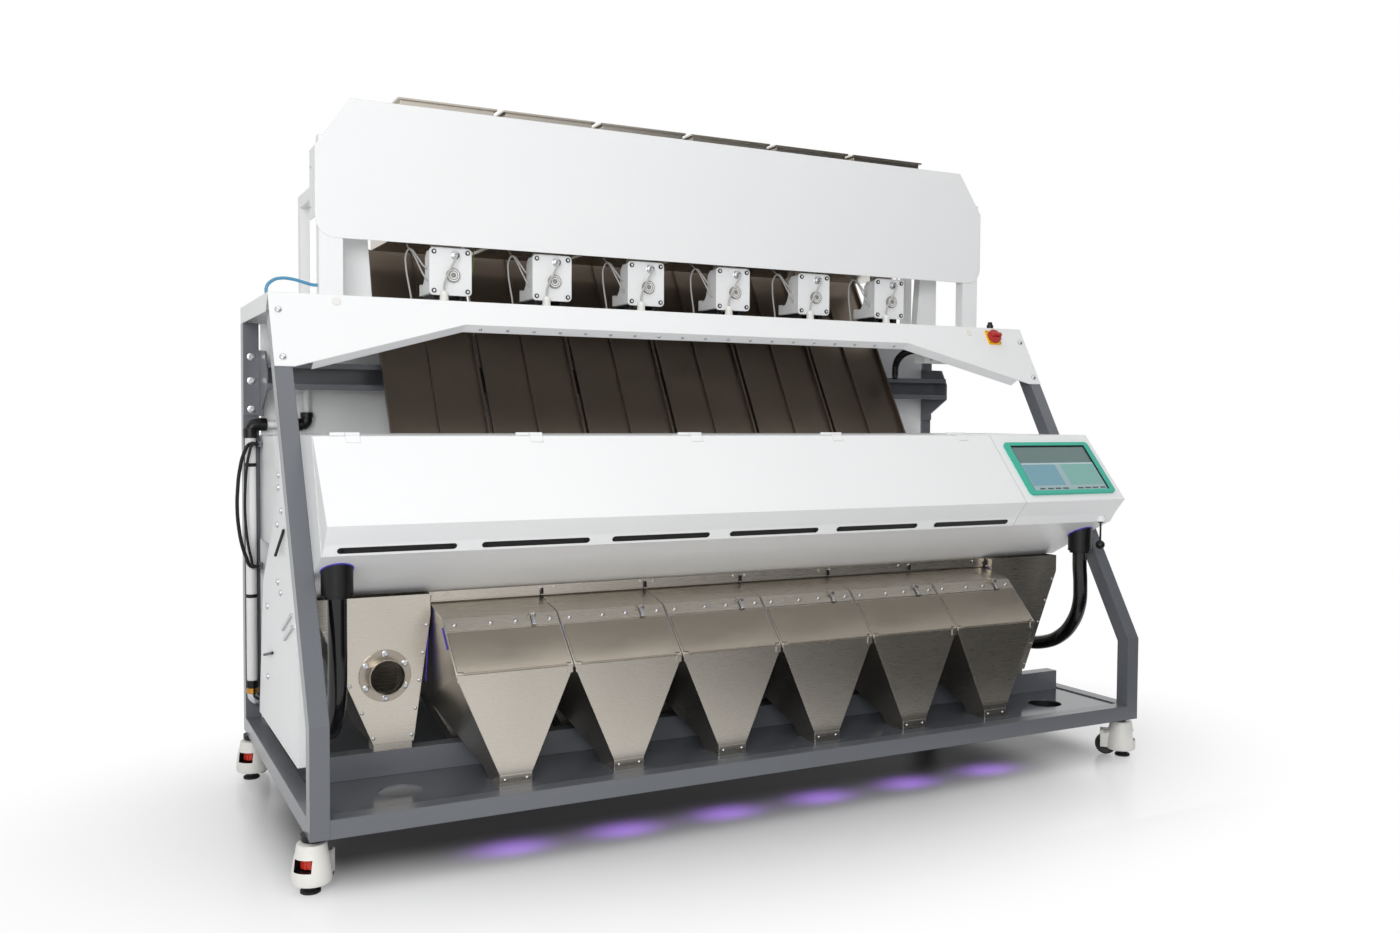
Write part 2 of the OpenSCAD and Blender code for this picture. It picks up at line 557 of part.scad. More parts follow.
module outlet_chutes() in_frame() color(steel) for (i = [0:modules - 1]) {
    difference() {
        translate([mod_x(i), 0, 0]) outlet_form(outlet_yz(0), 0);
        translate([mod_x(i), 0, 0]) outlet_form(inset(outlet_yz(12), outlet_t), outlet_t);
        on_slope(i) box([-146, 14, -6], [146, door_l - 10, 6]);
    }
    on_slope(i) {
        box([-out_w + 3, door_l + 6, -1], [out_w - 3, slope_l - 1, 2]);
        for (x = [-9.5, 9.5])
            box([latch_dx + x - 1.5, latch_s - 7, 2], [latch_dx + x + 1.5, latch_s + 7, latch_n + 4]);
        rod_x([latch_dx - 11, latch_s, latch_n], 2, 22);
        for (x = [-140, -35, 40, 145]) rod_z([x, (door_l + slope_l) / 2 + 2, 2], 6, 4);
    }
    translate([mod_x(i), 0, 0]) {
        box([1 - spout_w / 2, hinge_y - 2, deck_z], [spout_w / 2 - 1, hinge_y, deck_z + foot_h]);
        box([1 - rear_spout_w / 2, rear_leg_y0 - 2, deck_z], [rear_spout_w / 2 - 1, rear_leg_y0, deck_z + foot_h]);
    }
    translate([mod_x(i), 0, 0]) both_sides() {
        box([152, hinge_y - 3, hinge_z - 22], [out_w - 3, hinge_y, hinge_z + 1]);
        on_slope_x() rod_x([153, door_axis[0], door_axis[1]], 3, out_w - 159);
        on_slope_x() rod_x([143, door_axis[0], door_axis[1]], 1.5, 12);
    }
}

module on_slope_x() translate([0, hinge_y, hinge_z]) rotate([slope_deg, 0, 0]) children();

// Stainless angle under the front housing that closes the row of outlets, with bolts in pairs
module outlet_rail() in_frame() color(steel) {
    along_x(-row_w / 2, row_w / 2, [[shelf[0] - 6, shelf[1] + 4], [shelf[0] - 3, shelf[1] + 4],
        [shelf[0] - 3, belly[1] - 3], [belly_rear[0] - 3, belly[1] - 3], [belly_rear[0] - 3, belly[1]],
        [shelf[0] - 6, belly[1]]]);
    for (i = [0:modules], x = [-1, 1]) let (p = (i - modules / 2) * pitch * 0.97 + x * 22)
        rod_y([p, shelf[0] - 10, belly[1] - 8], 5, 4);
}

// Stainless end funnels beside the outlets, on foot plates
function funnel_xz(d) = [[funnel_x0 + d, belly[1] + 20 * d], [funnel_x0 + d, 645], [funnel_b0 + d, funnel_z + d],
    [funnel_b1 - d, funnel_z + d], [funnel_x1 - d, 645], [funnel_x1 - d, belly[1] + 20 * d]];

module end_funnels() in_frame() color(steel) difference() {
    both_sides() {
        difference() {
            along_y(funnel_y, 600, funnel_xz(0));
            along_y(funnel_y + 2, 598, funnel_xz(2));
        }
        box([funnel_b0 + 3, funnel_y + 8, deck_z + riser_h], [funnel_b1 - 3, funnel_y + 70, funnel_z]);
    }
    along_x(-half_w, half_w, [[200, 798], [belly[0], 705], [belly_rear[0], 705], [428, 830]]);
    rod_y([port_x, funnel_y - 1, port_z], port_r, 5);
}

module dust_port() in_frame() color(steel) {
    difference() {
        union() {
            rod_y([port_x, funnel_y - 5, port_z], 73, 5);
            rod_y([port_x, funnel_y - 34, port_z], port_r + 3, 30);
        }
        rod_y([port_x, funnel_y - 40, port_z], port_r, 45);
    }
    for (a = [30:60:330]) rod_y([port_x + 63 * cos(a), funnel_y - 10, port_z + 63 * sin(a)], 6, 5);
}

// Rear box behind the chutes and the panels above and below it
module rear_cabinet() in_frame() color(panel_white) {
    difference() {
        along_x(-box_x, box_x, rear_yz);
        along_x(-box_x + sheet, box_x - sheet, inset(rear_yz, sheet));
        box([-1250, rear_y - 10, rear_z0 + 30], [1250, rear_y + 1, rear_z1 - 30]);
        for (i = [0:modules - 1]) translate([mod_x(i), 0, 0])
            box([-150, chute_y - 155, rear_z0 + 40], [150, chute_y + 45, rear_z0 + 190]);
    }
    box([-inner_x + 6, rear_y - 3, rear_z1], [inner_x - 6, rear_y, post_top]);
    box([-inner_x, rear_y - 3, deck_z], [inner_x, rear_y, rear_z0]);
    for (x = rear_hinges) {
        box([x - 40, rear_y, rear_z1 - 2], [x - 1, rear_y + 6, rear_z1 + 3]);
        rod_x([x - 40, rear_y + 6, rear_z1], 3.5, 39);
        rod_x([x - 1, rear_y + 6, rear_z1], 2, 38);
    }
}

// Rear service cover, hinged along its top edge
module rear_cover() in_frame() color(panel_white) {
    difference() {
        box([-box_x, rear_y + 1, 690], [box_x, frame_d, rear_z1 - 4]);
        box([-box_x + 3, rear_y, 693], [box_x - 3, frame_d - 3, rear_z1 - 7]);
    }
    for (x = [-900, 900]) {
        box([x - 60, frame_d, 720], [x - 50, frame_d + 2, 760]);
        box([x + 50, frame_d, 720], [x + 60, frame_d + 2, 760]);
    }
    for (x = rear_hinges) difference() {
        union() {
            rod_x([x, rear_y + 6, rear_z1], 3.5, 39);
            box([x, rear_y + 4, rear_z1 - 5], [x + 39, rear_y + 8, rear_z1]);
        }
        rod_x([x - 1, rear_y + 6, rear_z1], 2.3, 41);
    }
}

// Folded panel on the left, in front of the air line
module side_panel() in_frame() color(panel_white) {
    along_x(-side_x, -side_x + 3, [[funnel_y, 245], [panel_y, 245], [panel_y - 105, 691], [panel_y - 400, 962],
        [panel_y - 435, 1130], [leg_back(1130), 1130], [leg_back(925), 925], [funnel_y, 915]]);
    box([-side_x + 3, funnel_y, 245], [-side_x + 39, funnel_y + 3, belly[1] - 15]);
    box([-side_x + 3, funnel_y + 115, 245], [-side_x + 9, funnel_y + 119, belly[1] - 15]);
    box([-side_x + 3, funnel_y + 3, 245], [-side_x + 39, panel_y, 248]);
}

// Air valve bar under the chute ends
module ejector_bank() in_frame() color([0.62, 0.63, 0.65]) {
    box([-row_w / 2, chute_y - 200, 735], [row_w / 2, chute_y - 130, rear_z0]);
    for (i = [0:modules - 1]) for (k = [-4:4])
        rod_z([mod_x(i) + k * 36, chute_y - 165, 715], 9, 20);
    both_sides() box([row_w / 2, chute_y - 185, 750], [inner_x, chute_y - 145, 780]);
}

// Cameras and lamps inside the front box
module optics_modules() in_frame() color([0.2, 0.2, 0.22]) {
    for (i = [0:modules - 1]) translate([mod_x(i), 0, 0]) {
        box([-45, 300, 880], [45, 420, 960]);
        rod_y([0, 420, 920], 26, 46);
    }
    box([-optics_x, 300, 868], [optics_x, 420, 880]);
    both_sides() box([optics_x, 300, 868], [inner_x - sheet, 420, 960]);
    for (z = [800, 1040]) {
        rod_x([-optics_x, 440 + (z - 800) * 0.5, z], 16, 2 * optics_x);
        both_sides() box([optics_x, 420 + (z - 800) * 0.5, z - 20],
            [inner_x - sheet, 460 + (z - 800) * 0.5, z + 20]);
    }
}

// Black collars where the two hoses leave the front housing, and where they enter the rear one
module hose_collars() in_frame() color(black) both_sides() {
    difference() {
        union() {
            rod_z([hose_x, hose_y, 738], 42, 100);
            rod_z([hose_x, hose_y, 730], 36, 8);
        }
        along_x(hose_x - 60, hose_x + 60, [lip + [4, 0], belly, [belly[0], 900], [lip[0] + 4, 900]]);
        rod_z([hose_x, hose_y, 700], 30, 38);
    }
    difference() {
        rod_z([hose_x, 900, 745], 38, 55);
        rod_z([hose_x, 900, 740], 30.4, 62);
    }
}

module extraction_hoses() in_frame() color(black) {
    cable(left_hose, 29.6, 12, [1, 0, 0]);
    cable(right_hose, 29.6, 12, [1, 0, 0]);
}

// Compressed-air line on the left: pipe, black couplings, brass ring and steel elbow
module air_line() in_frame() color(panel_white) {
    translate([-half_w + 18, rear_y - 28, 0]) {
        rod_z([0, 0, 328], 17, 812);
        rod_z([0, 0, 1140], 23, 40);
        translate([0, 0, 1180]) sphere(r = 23);
        rod_x([0, 0, 1185], 21, 52);
        rod_x([52, 0, 1185], 13, 104);
        rod_x([156, 0, 1185], 21, 26);
        translate([182, 0, 1185]) sphere(r = 21);
        rod_z([182, 0, 1185], 21, 38);
        rod_z([182, 0, 1223], 11, bridge_top - 3 - 1223);
        rod_z([0, 0, 304], 21, 24);
        rod_z([0, 0, 284], 19, 20);
        translate([30, 0, 284]) rotate([90, 0, 180]) rotate_extrude(angle = -90) translate([30, 0]) circle(r = 16);
        rod_x([30, 0, 254], 16, 14);
        rod_x([44, 0, 254], 21, 9);
    }
    for (z = [560, 920]) translate([-half_w + 18, rear_y - 28, z]) difference() {
        rod_z([0, 0, 0], 19, 12);
        rod_z([0, 0, -1], 17, 14);
    }
}

module service_cables() in_frame() color(black) {
    cable(loop_cable, 6, 8, [0, 1, 0]);
    cable(blue_tube, 5, 8, [0, 1, 0]);
    for (i = [0:modules - 1]) translate([mod_x(i), 0, 0]) cable(drive_lead, 3.5, 8, [1, 0.1, -0.3]);
    rod_z([half_w - 137, lean_y0 + 16, bridge_top], 13, 16);
    rod_z([half_w - 137, lean_y0 + 16, bridge_top + 16], 9, 10);
}

// Mains isolator on the bridge
module isolator_plate() in_frame() color([0.98, 0.80, 0.05]) on_lean()
    translate([half_w - 158, lean_s1 - 46, bridge_t]) round_plate(62, 62, 4, 5);

module isolator_knob() in_frame() color([0.80, 0.06, 0.06]) on_lean()
    translate([half_w - 158, lean_s1 - 46, bridge_t + 5.4]) {
        cylinder(r = 24, h = 12);
        translate([0, 0, 12]) round_plate(46, 15, 7, 16);
    }

// Bolt heads, plugs and screws of the frame
module frame_bolts() in_frame() color(steel) {
    on_lean() {
        both_sides() for (s = [lean_s0 + 30, lean_s1 - 62]) rod_z([half_w - 25, s, bridge_t], 9, 6);
        rod_z([194 - half_w, lean_s1 - 24, bridge_t], 14, 3);
        rod_z([half_w - 272, lean_s1 - 28, bridge_t], 14, 3);
        for (k = [-9:9]) translate([k * flat_x / 9.6, lean_sm, -20]) rotate([90, 0, 0]) cylinder(r = 5, h = 5);
    }
    both_sides() {
        for (z = [1235, 1330, 1410]) rod_y([half_w - 25, rear_y - 11, z], 8, 5);
        for (z = [fascia_z0 + 100, fascia_z0 + 220]) rod_x([fascia_w / 2, fascia_y + 62, z], 5, 3);
        for (y = [lean_y0 + 38, lean_y0 + 148, lean_y0 + 358]) rod_z([half_w - 246, y, bridge_top], 5, 4);
    }
}

module sample_door(i) in_frame() color(steel) on_slope(i) difference() {
    union() {
        box([-166, 7, 0.4], [166, door_l, 2.9]);
        box([-150, -2, 0.4], [150, 7, 2.9]);
        rod_x([-150, door_axis[0], door_axis[1]], 3, 300);
    }
    rod_x([-151, door_axis[0], door_axis[1]], 1.8, 302);
}

// Toggle lever that holds the top edge of a sample door
module door_latch(i) in_frame() color(steel) on_slope(i) translate([latch_dx, latch_s, latch_n]) {
    difference() {
        union() {
            rod_x([-6, 0, 0], 5, 12);
            box([-6, door_l - latch_s + 10, -4.5], [6, 0, -1]);
            box([-8, door_l - latch_s + 4, -4.5], [8, door_l - latch_s + 16, 0.5]);
        }
        rod_x([-7, 0, 0], 2.05, 14);
    }
}

// Local frame of caster i: swivel axis at the origin, pad towards -Y
module caster_at(i) in_frame() translate([caster_s[i] * caster_x, caster_y[i], 0])
    rotate([0, 0, caster_turn[i]]) children();

// Caster shell with its levelling foot as a second solid
module caster_body(i) color(panel_white) caster_at(i) {
    difference() {
        union() {
            translate([0, -pad_off * 0.7, 0]) rotate_extrude() polygon([[0, 24], [47, 24], [51, 34], [51, 52],
                [46, 84], [38, 116], [34, cup_z - 1], [0, cup_z - 1]]);
            for (x = [-1, 1]) box([x * 20 - 4, 0, 30], [x * 20 + 4, 56, 92]);
            box([-24, 0, 80], [24, 48, 92]);
            rod_z([0, 0, cup_z - 2], 10, 13);
        }
        box([-16, -2, 0], [16, 90, 79]);
        rod_x([-40, wheel_off, wheel_z], 5.9, 80);
        rod_z([0, -pad_off, 61], 25, 32);
        box([-25, -80, 61], [25, -pad_off, 93]);
        rod_z([0, -pad_off, 0], 8, 100);
        rod_z([0, -pad_off, 0], pad_r + 3, 26);
    }
    rod_x([-27, wheel_off, wheel_z], 5.9, 54);
    rod_z([0, -pad_off, 0], pad_r, 9);
    rod_z([0, -pad_off, 9], 16, 8);
    rod_z([0, -pad_off, 17], 8, 82);
}

module caster_wheel(i) color(black) caster_at(i) difference() {
    rod_x([-wheel_w / 2, wheel_off, wheel_z], wheel_r, wheel_w);
    rod_x([-wheel_w / 2 - 1, wheel_off, wheel_z], 6, wheel_w + 2);
    for (s = [-1, 1]) rod_x([s * (wheel_w / 2 - 2) - 2, wheel_off, wheel_z], wheel_r - 8, 4);
}

module level_dial(i) color([0.85, 0.12, 0.06]) caster_at(i) translate([0, -pad_off, 65]) difference() {
    union() {
        cylinder(r = 21, h = 24);
        for (a = [0:30:330]) rotate([0, 0, a]) box([20, -2.5, 0], [23.5, 2.5, 24]);
    }
    translate([0, 0, -1]) cylinder(r = 8.05, h = 26);
}

front_legs();
rear_posts();
base_rails();
base_deck();
caster_cups();
bridge_beam();
feed_deck();
chute_beam();
hopper_fascia();
hopper_frame();
feed_bins();
feeder_drives();
feeder_trays();
sorting_chutes();
optics_box();
optics_cover();
console_cover();
screen_bezel();
touch_screen();
release_knob();
outlet_chutes();
outlet_rail();
end_funnels();
dust_port();
rear_cabinet();
rear_cover();
side_panel();
ejector_bank();
optics_modules();
hose_collars();
extraction_hoses();
air_line();
service_cables();
isolator_plate();
isolator_knob();
frame_bolts();
sample_door(0);  // sample_door_1
sample_door(1);  // sample_door_2
sample_door(2);  // sample_door_3
sample_door(3);  // sample_door_4
sample_door(4);  // sample_door_5
sample_door(5);  // sample_door_6
door_latch(0);  // door_latch_1
door_latch(1);  // door_latch_2
door_latch(2);  // door_latch_3
door_latch(3);  // door_latch_4
door_latch(4);  // door_latch_5
door_latch(5);  // door_latch_6
caster_body(0);  // caster_body_1
caster_body(1);  // caster_body_2
caster_body(2);  // caster_body_3
caster_body(3);  // caster_body_4
caster_wheel(0);  // caster_wheel_1
caster_wheel(1);  // caster_wheel_2
caster_wheel(2);  // caster_wheel_3
caster_wheel(3);  // caster_wheel_4
level_dial(0);  // level_dial_1
level_dial(1);  // level_dial_2
level_dial(2);  // level_dial_3
level_dial(3);  // level_dial_4
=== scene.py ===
# %% [markdown]
# # An optical grain sorter, dressed for its portrait
# The solid model already holds every sheet, tube and joint of the machine at its real size. This lesson gives it
# paint, brushed steel and moulded plastic, adds the small parts that a camera sees, and lights it in a white studio.

# %% Load the solid model
import math

import bpy
from mathutils import Matrix, Vector


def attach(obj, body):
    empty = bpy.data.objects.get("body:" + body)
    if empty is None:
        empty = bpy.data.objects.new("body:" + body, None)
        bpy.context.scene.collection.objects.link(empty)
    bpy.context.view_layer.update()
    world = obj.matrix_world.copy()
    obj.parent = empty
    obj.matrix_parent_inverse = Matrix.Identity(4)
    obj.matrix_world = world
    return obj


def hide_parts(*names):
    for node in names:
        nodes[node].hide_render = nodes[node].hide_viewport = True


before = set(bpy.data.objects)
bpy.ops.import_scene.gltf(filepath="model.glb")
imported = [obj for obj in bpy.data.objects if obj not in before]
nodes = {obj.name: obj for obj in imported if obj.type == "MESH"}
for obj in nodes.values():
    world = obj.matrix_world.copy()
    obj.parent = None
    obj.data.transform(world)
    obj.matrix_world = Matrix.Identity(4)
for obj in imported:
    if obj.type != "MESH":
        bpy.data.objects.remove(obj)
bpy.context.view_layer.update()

# %% [markdown]
# ## Units
# The machine was measured in millimetres from the front face of its legs and from the floor. One function turns such
# a measurement into Blender's metres, so that every number below can be checked with a tape measure. Bolts and
# latches sit on sloped sheets, so a second function gives the matrix of such a sheet.

# %% Millimetres to metres
MM = 0.001
LEG_FRONT = 626.0
PITCH = 345.0
MODULES = [(i - 2.5) * PITCH for i in range(6)]


def at(x, y, z):
    """Point in metres; x from the middle, y from the front of the legs, z from the floor, all in millimetres."""
    return Vector((x * MM, (y - LEG_FRONT) * MM, z * MM))


def mm(*size):
    return Vector(size) * MM


def tilted(x, y, z, degrees):
    """Sheet through a point that leans up and back by some degrees; local X, up the sheet, out of the sheet."""
    return Matrix.Translation(at(x, y, z)) @ Matrix.Rotation(math.radians(degrees), 4, "X")


def facing(where, axis):
    """Place at a point, with the local Z axis along a direction."""
    return Matrix.Translation(where) @ Vector(axis).to_track_quat("Z", "Y").to_matrix().to_4x4()


def slope(x):
    """Sloped front of the outlets, measured from the hinge line of the sample doors."""
    return tilted(x, 98, 512, 43.73)


BRIDGE = tilted(0, 0, 435, 60.6)
COVER = tilted(0, 30, 934, 49.36)
SLOPES = [slope(x) for x in MODULES]
LEG_X = 1411
FRONT = (0, -1, 0)
print("modules at", MODULES)

# %% [markdown]
# ## Camera
# The camera stands low in front of the left corner, so the verticals stay almost parallel and the long cover runs
# away to the right. Its place, its turn and its lens were worked out from known corners of the machine. Building the
# rotation from three axes is clearer here than juggling Euler angles.

# %% Camera
SENSOR, FOCAL_PIXELS, PICTURE_PIXELS = 36.0, 1218.73, 1400
yaw, pitch, roll = math.radians(27.59), math.radians(-2.23), math.radians(0.33)
forward = Vector((math.sin(yaw) * math.cos(pitch), math.cos(yaw) * math.cos(pitch), math.sin(pitch)))
level_right = Vector((math.cos(yaw), -math.sin(yaw), 0))
level_up = level_right.cross(forward)
right = level_right * math.cos(roll) + level_up * math.sin(roll)
up = level_up * math.cos(roll) - level_right * math.sin(roll)
bpy.ops.object.camera_add(location=at(-1969.9, -3117.2, 1211.0))
camera = bpy.context.object
camera.name = "portrait_camera"
camera.rotation_euler = Matrix((right, up, -forward)).transposed().to_euler()
camera.data.sensor_width = SENSOR
camera.data.lens = FOCAL_PIXELS / PICTURE_PIXELS * SENSOR
bpy.context.scene.camera = camera
print("lens %.2f mm" % camera.data.lens)

# %% [markdown]
# ## How a finish is written
# A finish is a small graph of nodes. One helper turns a colour as a painter would write it, a hex value, into the
# linear numbers that shaders use. Another adds a node, gives it its settings and joins its inputs.

# %% Colour and node helpers


def linear(text):
    """Linear colour from an sRGB hex value."""
    parts = [int(text[i:i + 2], 16) / 255 for i in (1, 3, 5)]
    return [c / 12.92 if c <= 0.04045 else ((c + 0.055) / 1.055) ** 2.4 for c in parts] + [1.0]


def add(tree, kind, inputs=None, **settings):
    """Adds a node with its settings; an input is a value or the output socket of another node."""
    node = tree.nodes.new(kind)
    for key, value in settings.items():
        setattr(node, key, value)
    for key, value in (inputs or {}).items():
        if isinstance(value, bpy.types.NodeSocket):
            tree.links.new(value, node.inputs[key])
        else:
            node.inputs[key].default_value = value
    return node


def finish(name, colour, **sockets):
    """New material with one principled shader; sockets are set by name with _ for a space."""
    material = bpy.data.materials.new(name)
    material.use_nodes = True
    tree = material.node_tree
    shader = tree.nodes["Principled BSDF"]
    shader.inputs["Base Color"].default_value = linear(colour)
    for key, value in sockets.items():
        shader.inputs[key.replace("_", " ")].default_value = value
    material.diffuse_color = linear(colour)
    return material, tree, shader


def place(tree, scale):
    """Object coordinates, stretched by a scale on each axis."""
    spot = add(tree, "ShaderNodeTexCoord")
    return add(tree, "ShaderNodeMapping", {"Vector": spot.outputs["Object"], "Scale": scale}).outputs["Vector"]


def per_mm(size):
    """Texture scale whose features are about this many millimetres wide."""
    return 1000.0 / size


MIX_FIRST, MIX_SECOND, MIX_RESULT = 6, 7, 2


def blend(tree, factor, first, second):
    """Output of a colour mix between two hex values; the three numbers above are its sockets for colours."""
    mix = add(tree, "ShaderNodeMix", {"Factor": factor}, data_type="RGBA")
    mix.inputs[MIX_FIRST].default_value = linear(first)
    mix.inputs[MIX_SECOND].default_value = linear(second)
    return mix.outputs[MIX_RESULT]


# %% [markdown]
# ## Powder coat
# The covers are folded steel with a white powder coat, baked on, which leaves a very faint orange peel. The frame
# has the same coat in grey, a little glossier, and the deck plate is glossier still. The peel is about 1 mm across,
# too fine to see here, so it is drawn at 4 mm and kept shallow. A fold in sheet metal is never a sharp edge: the
# Bevel node rounds it in the shading by a few millimetres, which gives each edge its thin line of light without one
# more face. A slow change of tone keeps the large sheets from looking like paper.

# %% Powder coats


def powder_coat(name, colour, shade, roughness, peel, fold):
    material, tree, shader = finish(name, colour, Roughness=roughness, Coat_Weight=0.12, Coat_Roughness=0.18)
    slow = add(tree, "ShaderNodeTexNoise", {"Vector": place(tree, (1, 1, 1)), "Scale": per_mm(700), "Detail": 2.0})
    tree.links.new(blend(tree, slow.outputs["Fac"], colour, shade), shader.inputs["Base Color"])
    edge = add(tree, "ShaderNodeBevel", {"Radius": fold * MM}, samples=4)
    grain = add(tree, "ShaderNodeTexNoise", {"Vector": place(tree, (1, 1, 1)), "Scale": per_mm(4), "Detail": 1.0})
    bump = add(tree, "ShaderNodeBump", {"Height": grain.outputs["Fac"], "Strength": peel, "Distance": 0.0002,
                                        "Normal": edge.outputs["Normal"]})
    tree.links.new(bump.outputs["Normal"], shader.inputs["Normal"])
    return material


white_coat = powder_coat("white_powder_coat", "#F4F5F5", "#EFF0F1", 0.40, 0.10, 3.0)
grey_coat = powder_coat("grey_powder_coat", "#6A6D73", "#63666C", 0.28, 0.16, 4.0)
# The deck coat's grey is a little darker than the frame's: painted shade for the outlets above it. Its extra gloss is
# the coat's own.
deck_coat = powder_coat("glossy_grey_coat", "#606369", "#585B61", 0.14, 0.06, 2.0)
black_coat = powder_coat("black_powder_coat", "#232326", "#1C1C1E", 0.45, 0.16, 2.0)
print("powder coats:", white_coat.name, grey_coat.name, deck_coat.name, black_coat.name)

# %% [markdown]
# ## Brushed stainless steel
# The outlets are bent from cold-rolled stainless sheet with a brushed face. The brush leaves long hair lines in one
# direction, so the noise is stretched fifty times along X. It changes the roughness, and a slow cloud changes the
# colour. The chutes are hard-anodised aluminium, dark brown, with their lines running down the slope.

# %% Brushed metals


def brushed(name, colour, shade, roughness, stretch, hair):
    material, tree, shader = finish(name, colour, Metallic=1.0, Roughness=roughness, Anisotropic=0.35)
    lines = add(tree, "ShaderNodeTexNoise", {"Vector": place(tree, stretch), "Scale": per_mm(hair), "Detail": 3.0})
    cloud = add(tree, "ShaderNodeTexNoise", {"Vector": place(tree, (1, 1, 1)), "Scale": per_mm(260), "Detail": 3.0})
    tree.links.new(blend(tree, cloud.outputs["Fac"], colour, shade), shader.inputs["Base Color"])
    rough = add(tree, "ShaderNodeMapRange", {"Value": lines.outputs["Fac"], "From Min": 0.3, "From Max": 0.7,
                                             "To Min": roughness - 0.01, "To Max": roughness + 0.03})
    tree.links.new(rough.outputs["Result"], shader.inputs["Roughness"])
    edge = add(tree, "ShaderNodeBevel", {"Radius": 1.5 * MM}, samples=4)
    bump = add(tree, "ShaderNodeBump", {"Height": lines.outputs["Fac"], "Strength": 0.01, "Distance": 0.0001,
                                        "Normal": edge.outputs["Normal"]})
    tree.links.new(bump.outputs["Normal"], shader.inputs["Normal"])
    return material


stainless = brushed("brushed_stainless", "#CDC7BE", "#BDB6AB", 0.27, (0.02, 1, 1), 1.6)
# Painted shade: a darker copy of the same steel for the sample doors, their knuckles and the port flange. The doors get
# it for the shaded underside they mirror, and the flange to set it off as a raised disc.
shaded_stainless = brushed("stainless_with_painted_shade", "#A9A195", "#9A9286", 0.24, (0.02, 1, 1), 1.6)
anodised = brushed("dark_anodised_aluminium", "#80756A", "#70665C", 0.36, (1, 1, 0.03), 5.0)
aluminium = brushed("milled_aluminium", "#C4C6C8", "#B4B6B9", 0.38, (0.03, 1, 1), 2.0)
print("brushed metals:", stainless.name, anodised.name)

# %% [markdown]
# ## Plain metals, plastics and rubber
# Bolts are zinc plated, the ring on the air line is brass. Moulded parts are ABS or nylon with a fine spark-eroded
# skin, and the tyres are matt rubber. Each has its own roughness, and a noise that breaks up the gloss.

# %% Small finishes


def moulded(name, colour, roughness, grit, depth, metallic=0.0, gloss=0.5):
    material, tree, shader = finish(name, colour, Roughness=roughness, Metallic=metallic, Specular_IOR_Level=gloss)
    skin = add(tree, "ShaderNodeTexNoise", {"Vector": place(tree, (1, 1, 1)), "Scale": per_mm(grit), "Detail": 2.0})
    rough = add(tree, "ShaderNodeMapRange", {"Value": skin.outputs["Fac"], "To Min": roughness - 0.05,
                                             "To Max": roughness + 0.07})
    tree.links.new(rough.outputs["Result"], shader.inputs["Roughness"])
    bump = add(tree, "ShaderNodeBump", {"Height": skin.outputs["Fac"], "Strength": depth, "Distance": 0.0002})
    tree.links.new(bump.outputs["Normal"], shader.inputs["Normal"])
    return material


zinc = moulded("zinc_plated_steel", "#C2C3C6", 0.27, 3.0, 0.08, 1.0)
dark_steel = moulded("blackened_steel", "#3A3A3C", 0.35, 3.0, 0.10, 1.0)
brass = moulded("turned_brass", "#B8863F", 0.28, 3.0, 0.06, 1.0)
black_abs = moulded("black_nylon", "#111112", 0.34, 1.5, 0.10, gloss=0.3)
black_rubber = moulded("black_rubber", "#121213", 0.52, 2.0, 0.18, gloss=0.3)
hose_pvc = moulded("black_pvc_hose", "#080809", 0.13, 4.0, 0.05)
white_abs = moulded("white_nylon", "#E9E8E2", 0.42, 2.0, 0.12)
pipe_pvc = moulded("white_pvc_pipe", "#EDEDEC", 0.34, 5.0, 0.05)
teal_abs = moulded("teal_abs", "#2FB39B", 0.30, 1.5, 0.06)
red_abs = moulded("red_nylon", "#D2311F", 0.28, 2.0, 0.05)
dark_red_abs = moulded("dark_red_nylon", "#B3231E", 0.30, 2.0, 0.05)
yellow_abs = moulded("yellow_nylon", "#F6C51D", 0.32, 2.0, 0.06)
grey_abs = moulded("grey_nylon", "#8F8C86", 0.42, 2.0, 0.08)
grey_cable = moulded("grey_pvc_cable", "#B9B7B4", 0.40, 3.0, 0.04)
blue_tube = moulded("blue_polyurethane_tube", "#4E93B9", 0.30, 3.0, 0.03)
earth_wire = moulded("green_earth_wire", "#7FA63B", 0.40, 3.0, 0.03)
print("small finishes ready")

# %% [markdown]
# ## Dress the solid parts
# A part whose shape is already right keeps its mesh and only receives a finish.

# %% Finish of each solid part
DRESS = {
    white_coat: "bridge_beam feed_deck hopper_fascia hopper_frame optics_box optics_cover console_cover rear_cabinet "
                "rear_cover side_panel feeder_drives",
    grey_coat: "front_legs rear_posts base_rails chute_beam",
    deck_coat: "base_deck",
    black_coat: "optics_modules",
    stainless: "outlet_chutes outlet_rail end_funnels feed_bins feeder_trays",
    # The doors and the port flange take the darker steel, which is painted shade.
    shaded_stainless: "dust_port " + " ".join("sample_door_%d" % (i + 1) for i in range(6)),
    zinc: "frame_bolts " + " ".join("door_latch_%d" % (i + 1) for i in range(6)),
    anodised: "sorting_chutes",
    aluminium: "ejector_bank",
    black_abs: "caster_cups release_knob hose_collars",
    hose_pvc: "extraction_hoses",
    pipe_pvc: "air_line",
    black_rubber: "service_cables " + " ".join("caster_wheel_%d" % (i + 1) for i in range(4)),
    white_abs: " ".join("caster_body_%d" % (i + 1) for i in range(4)),
    red_abs: "isolator_knob " + " ".join("level_dial_%d" % (i + 1) for i in range(4)),
    yellow_abs: "isolator_plate",
    teal_abs: "screen_bezel touch_screen",
}
for material, names in DRESS.items():
    for name in names.split():
        nodes[name].data.materials.clear()
        nodes[name].data.materials.append(material)
print("dressed", sum(len(names.split()) for names in DRESS.values()), "of", len(nodes))

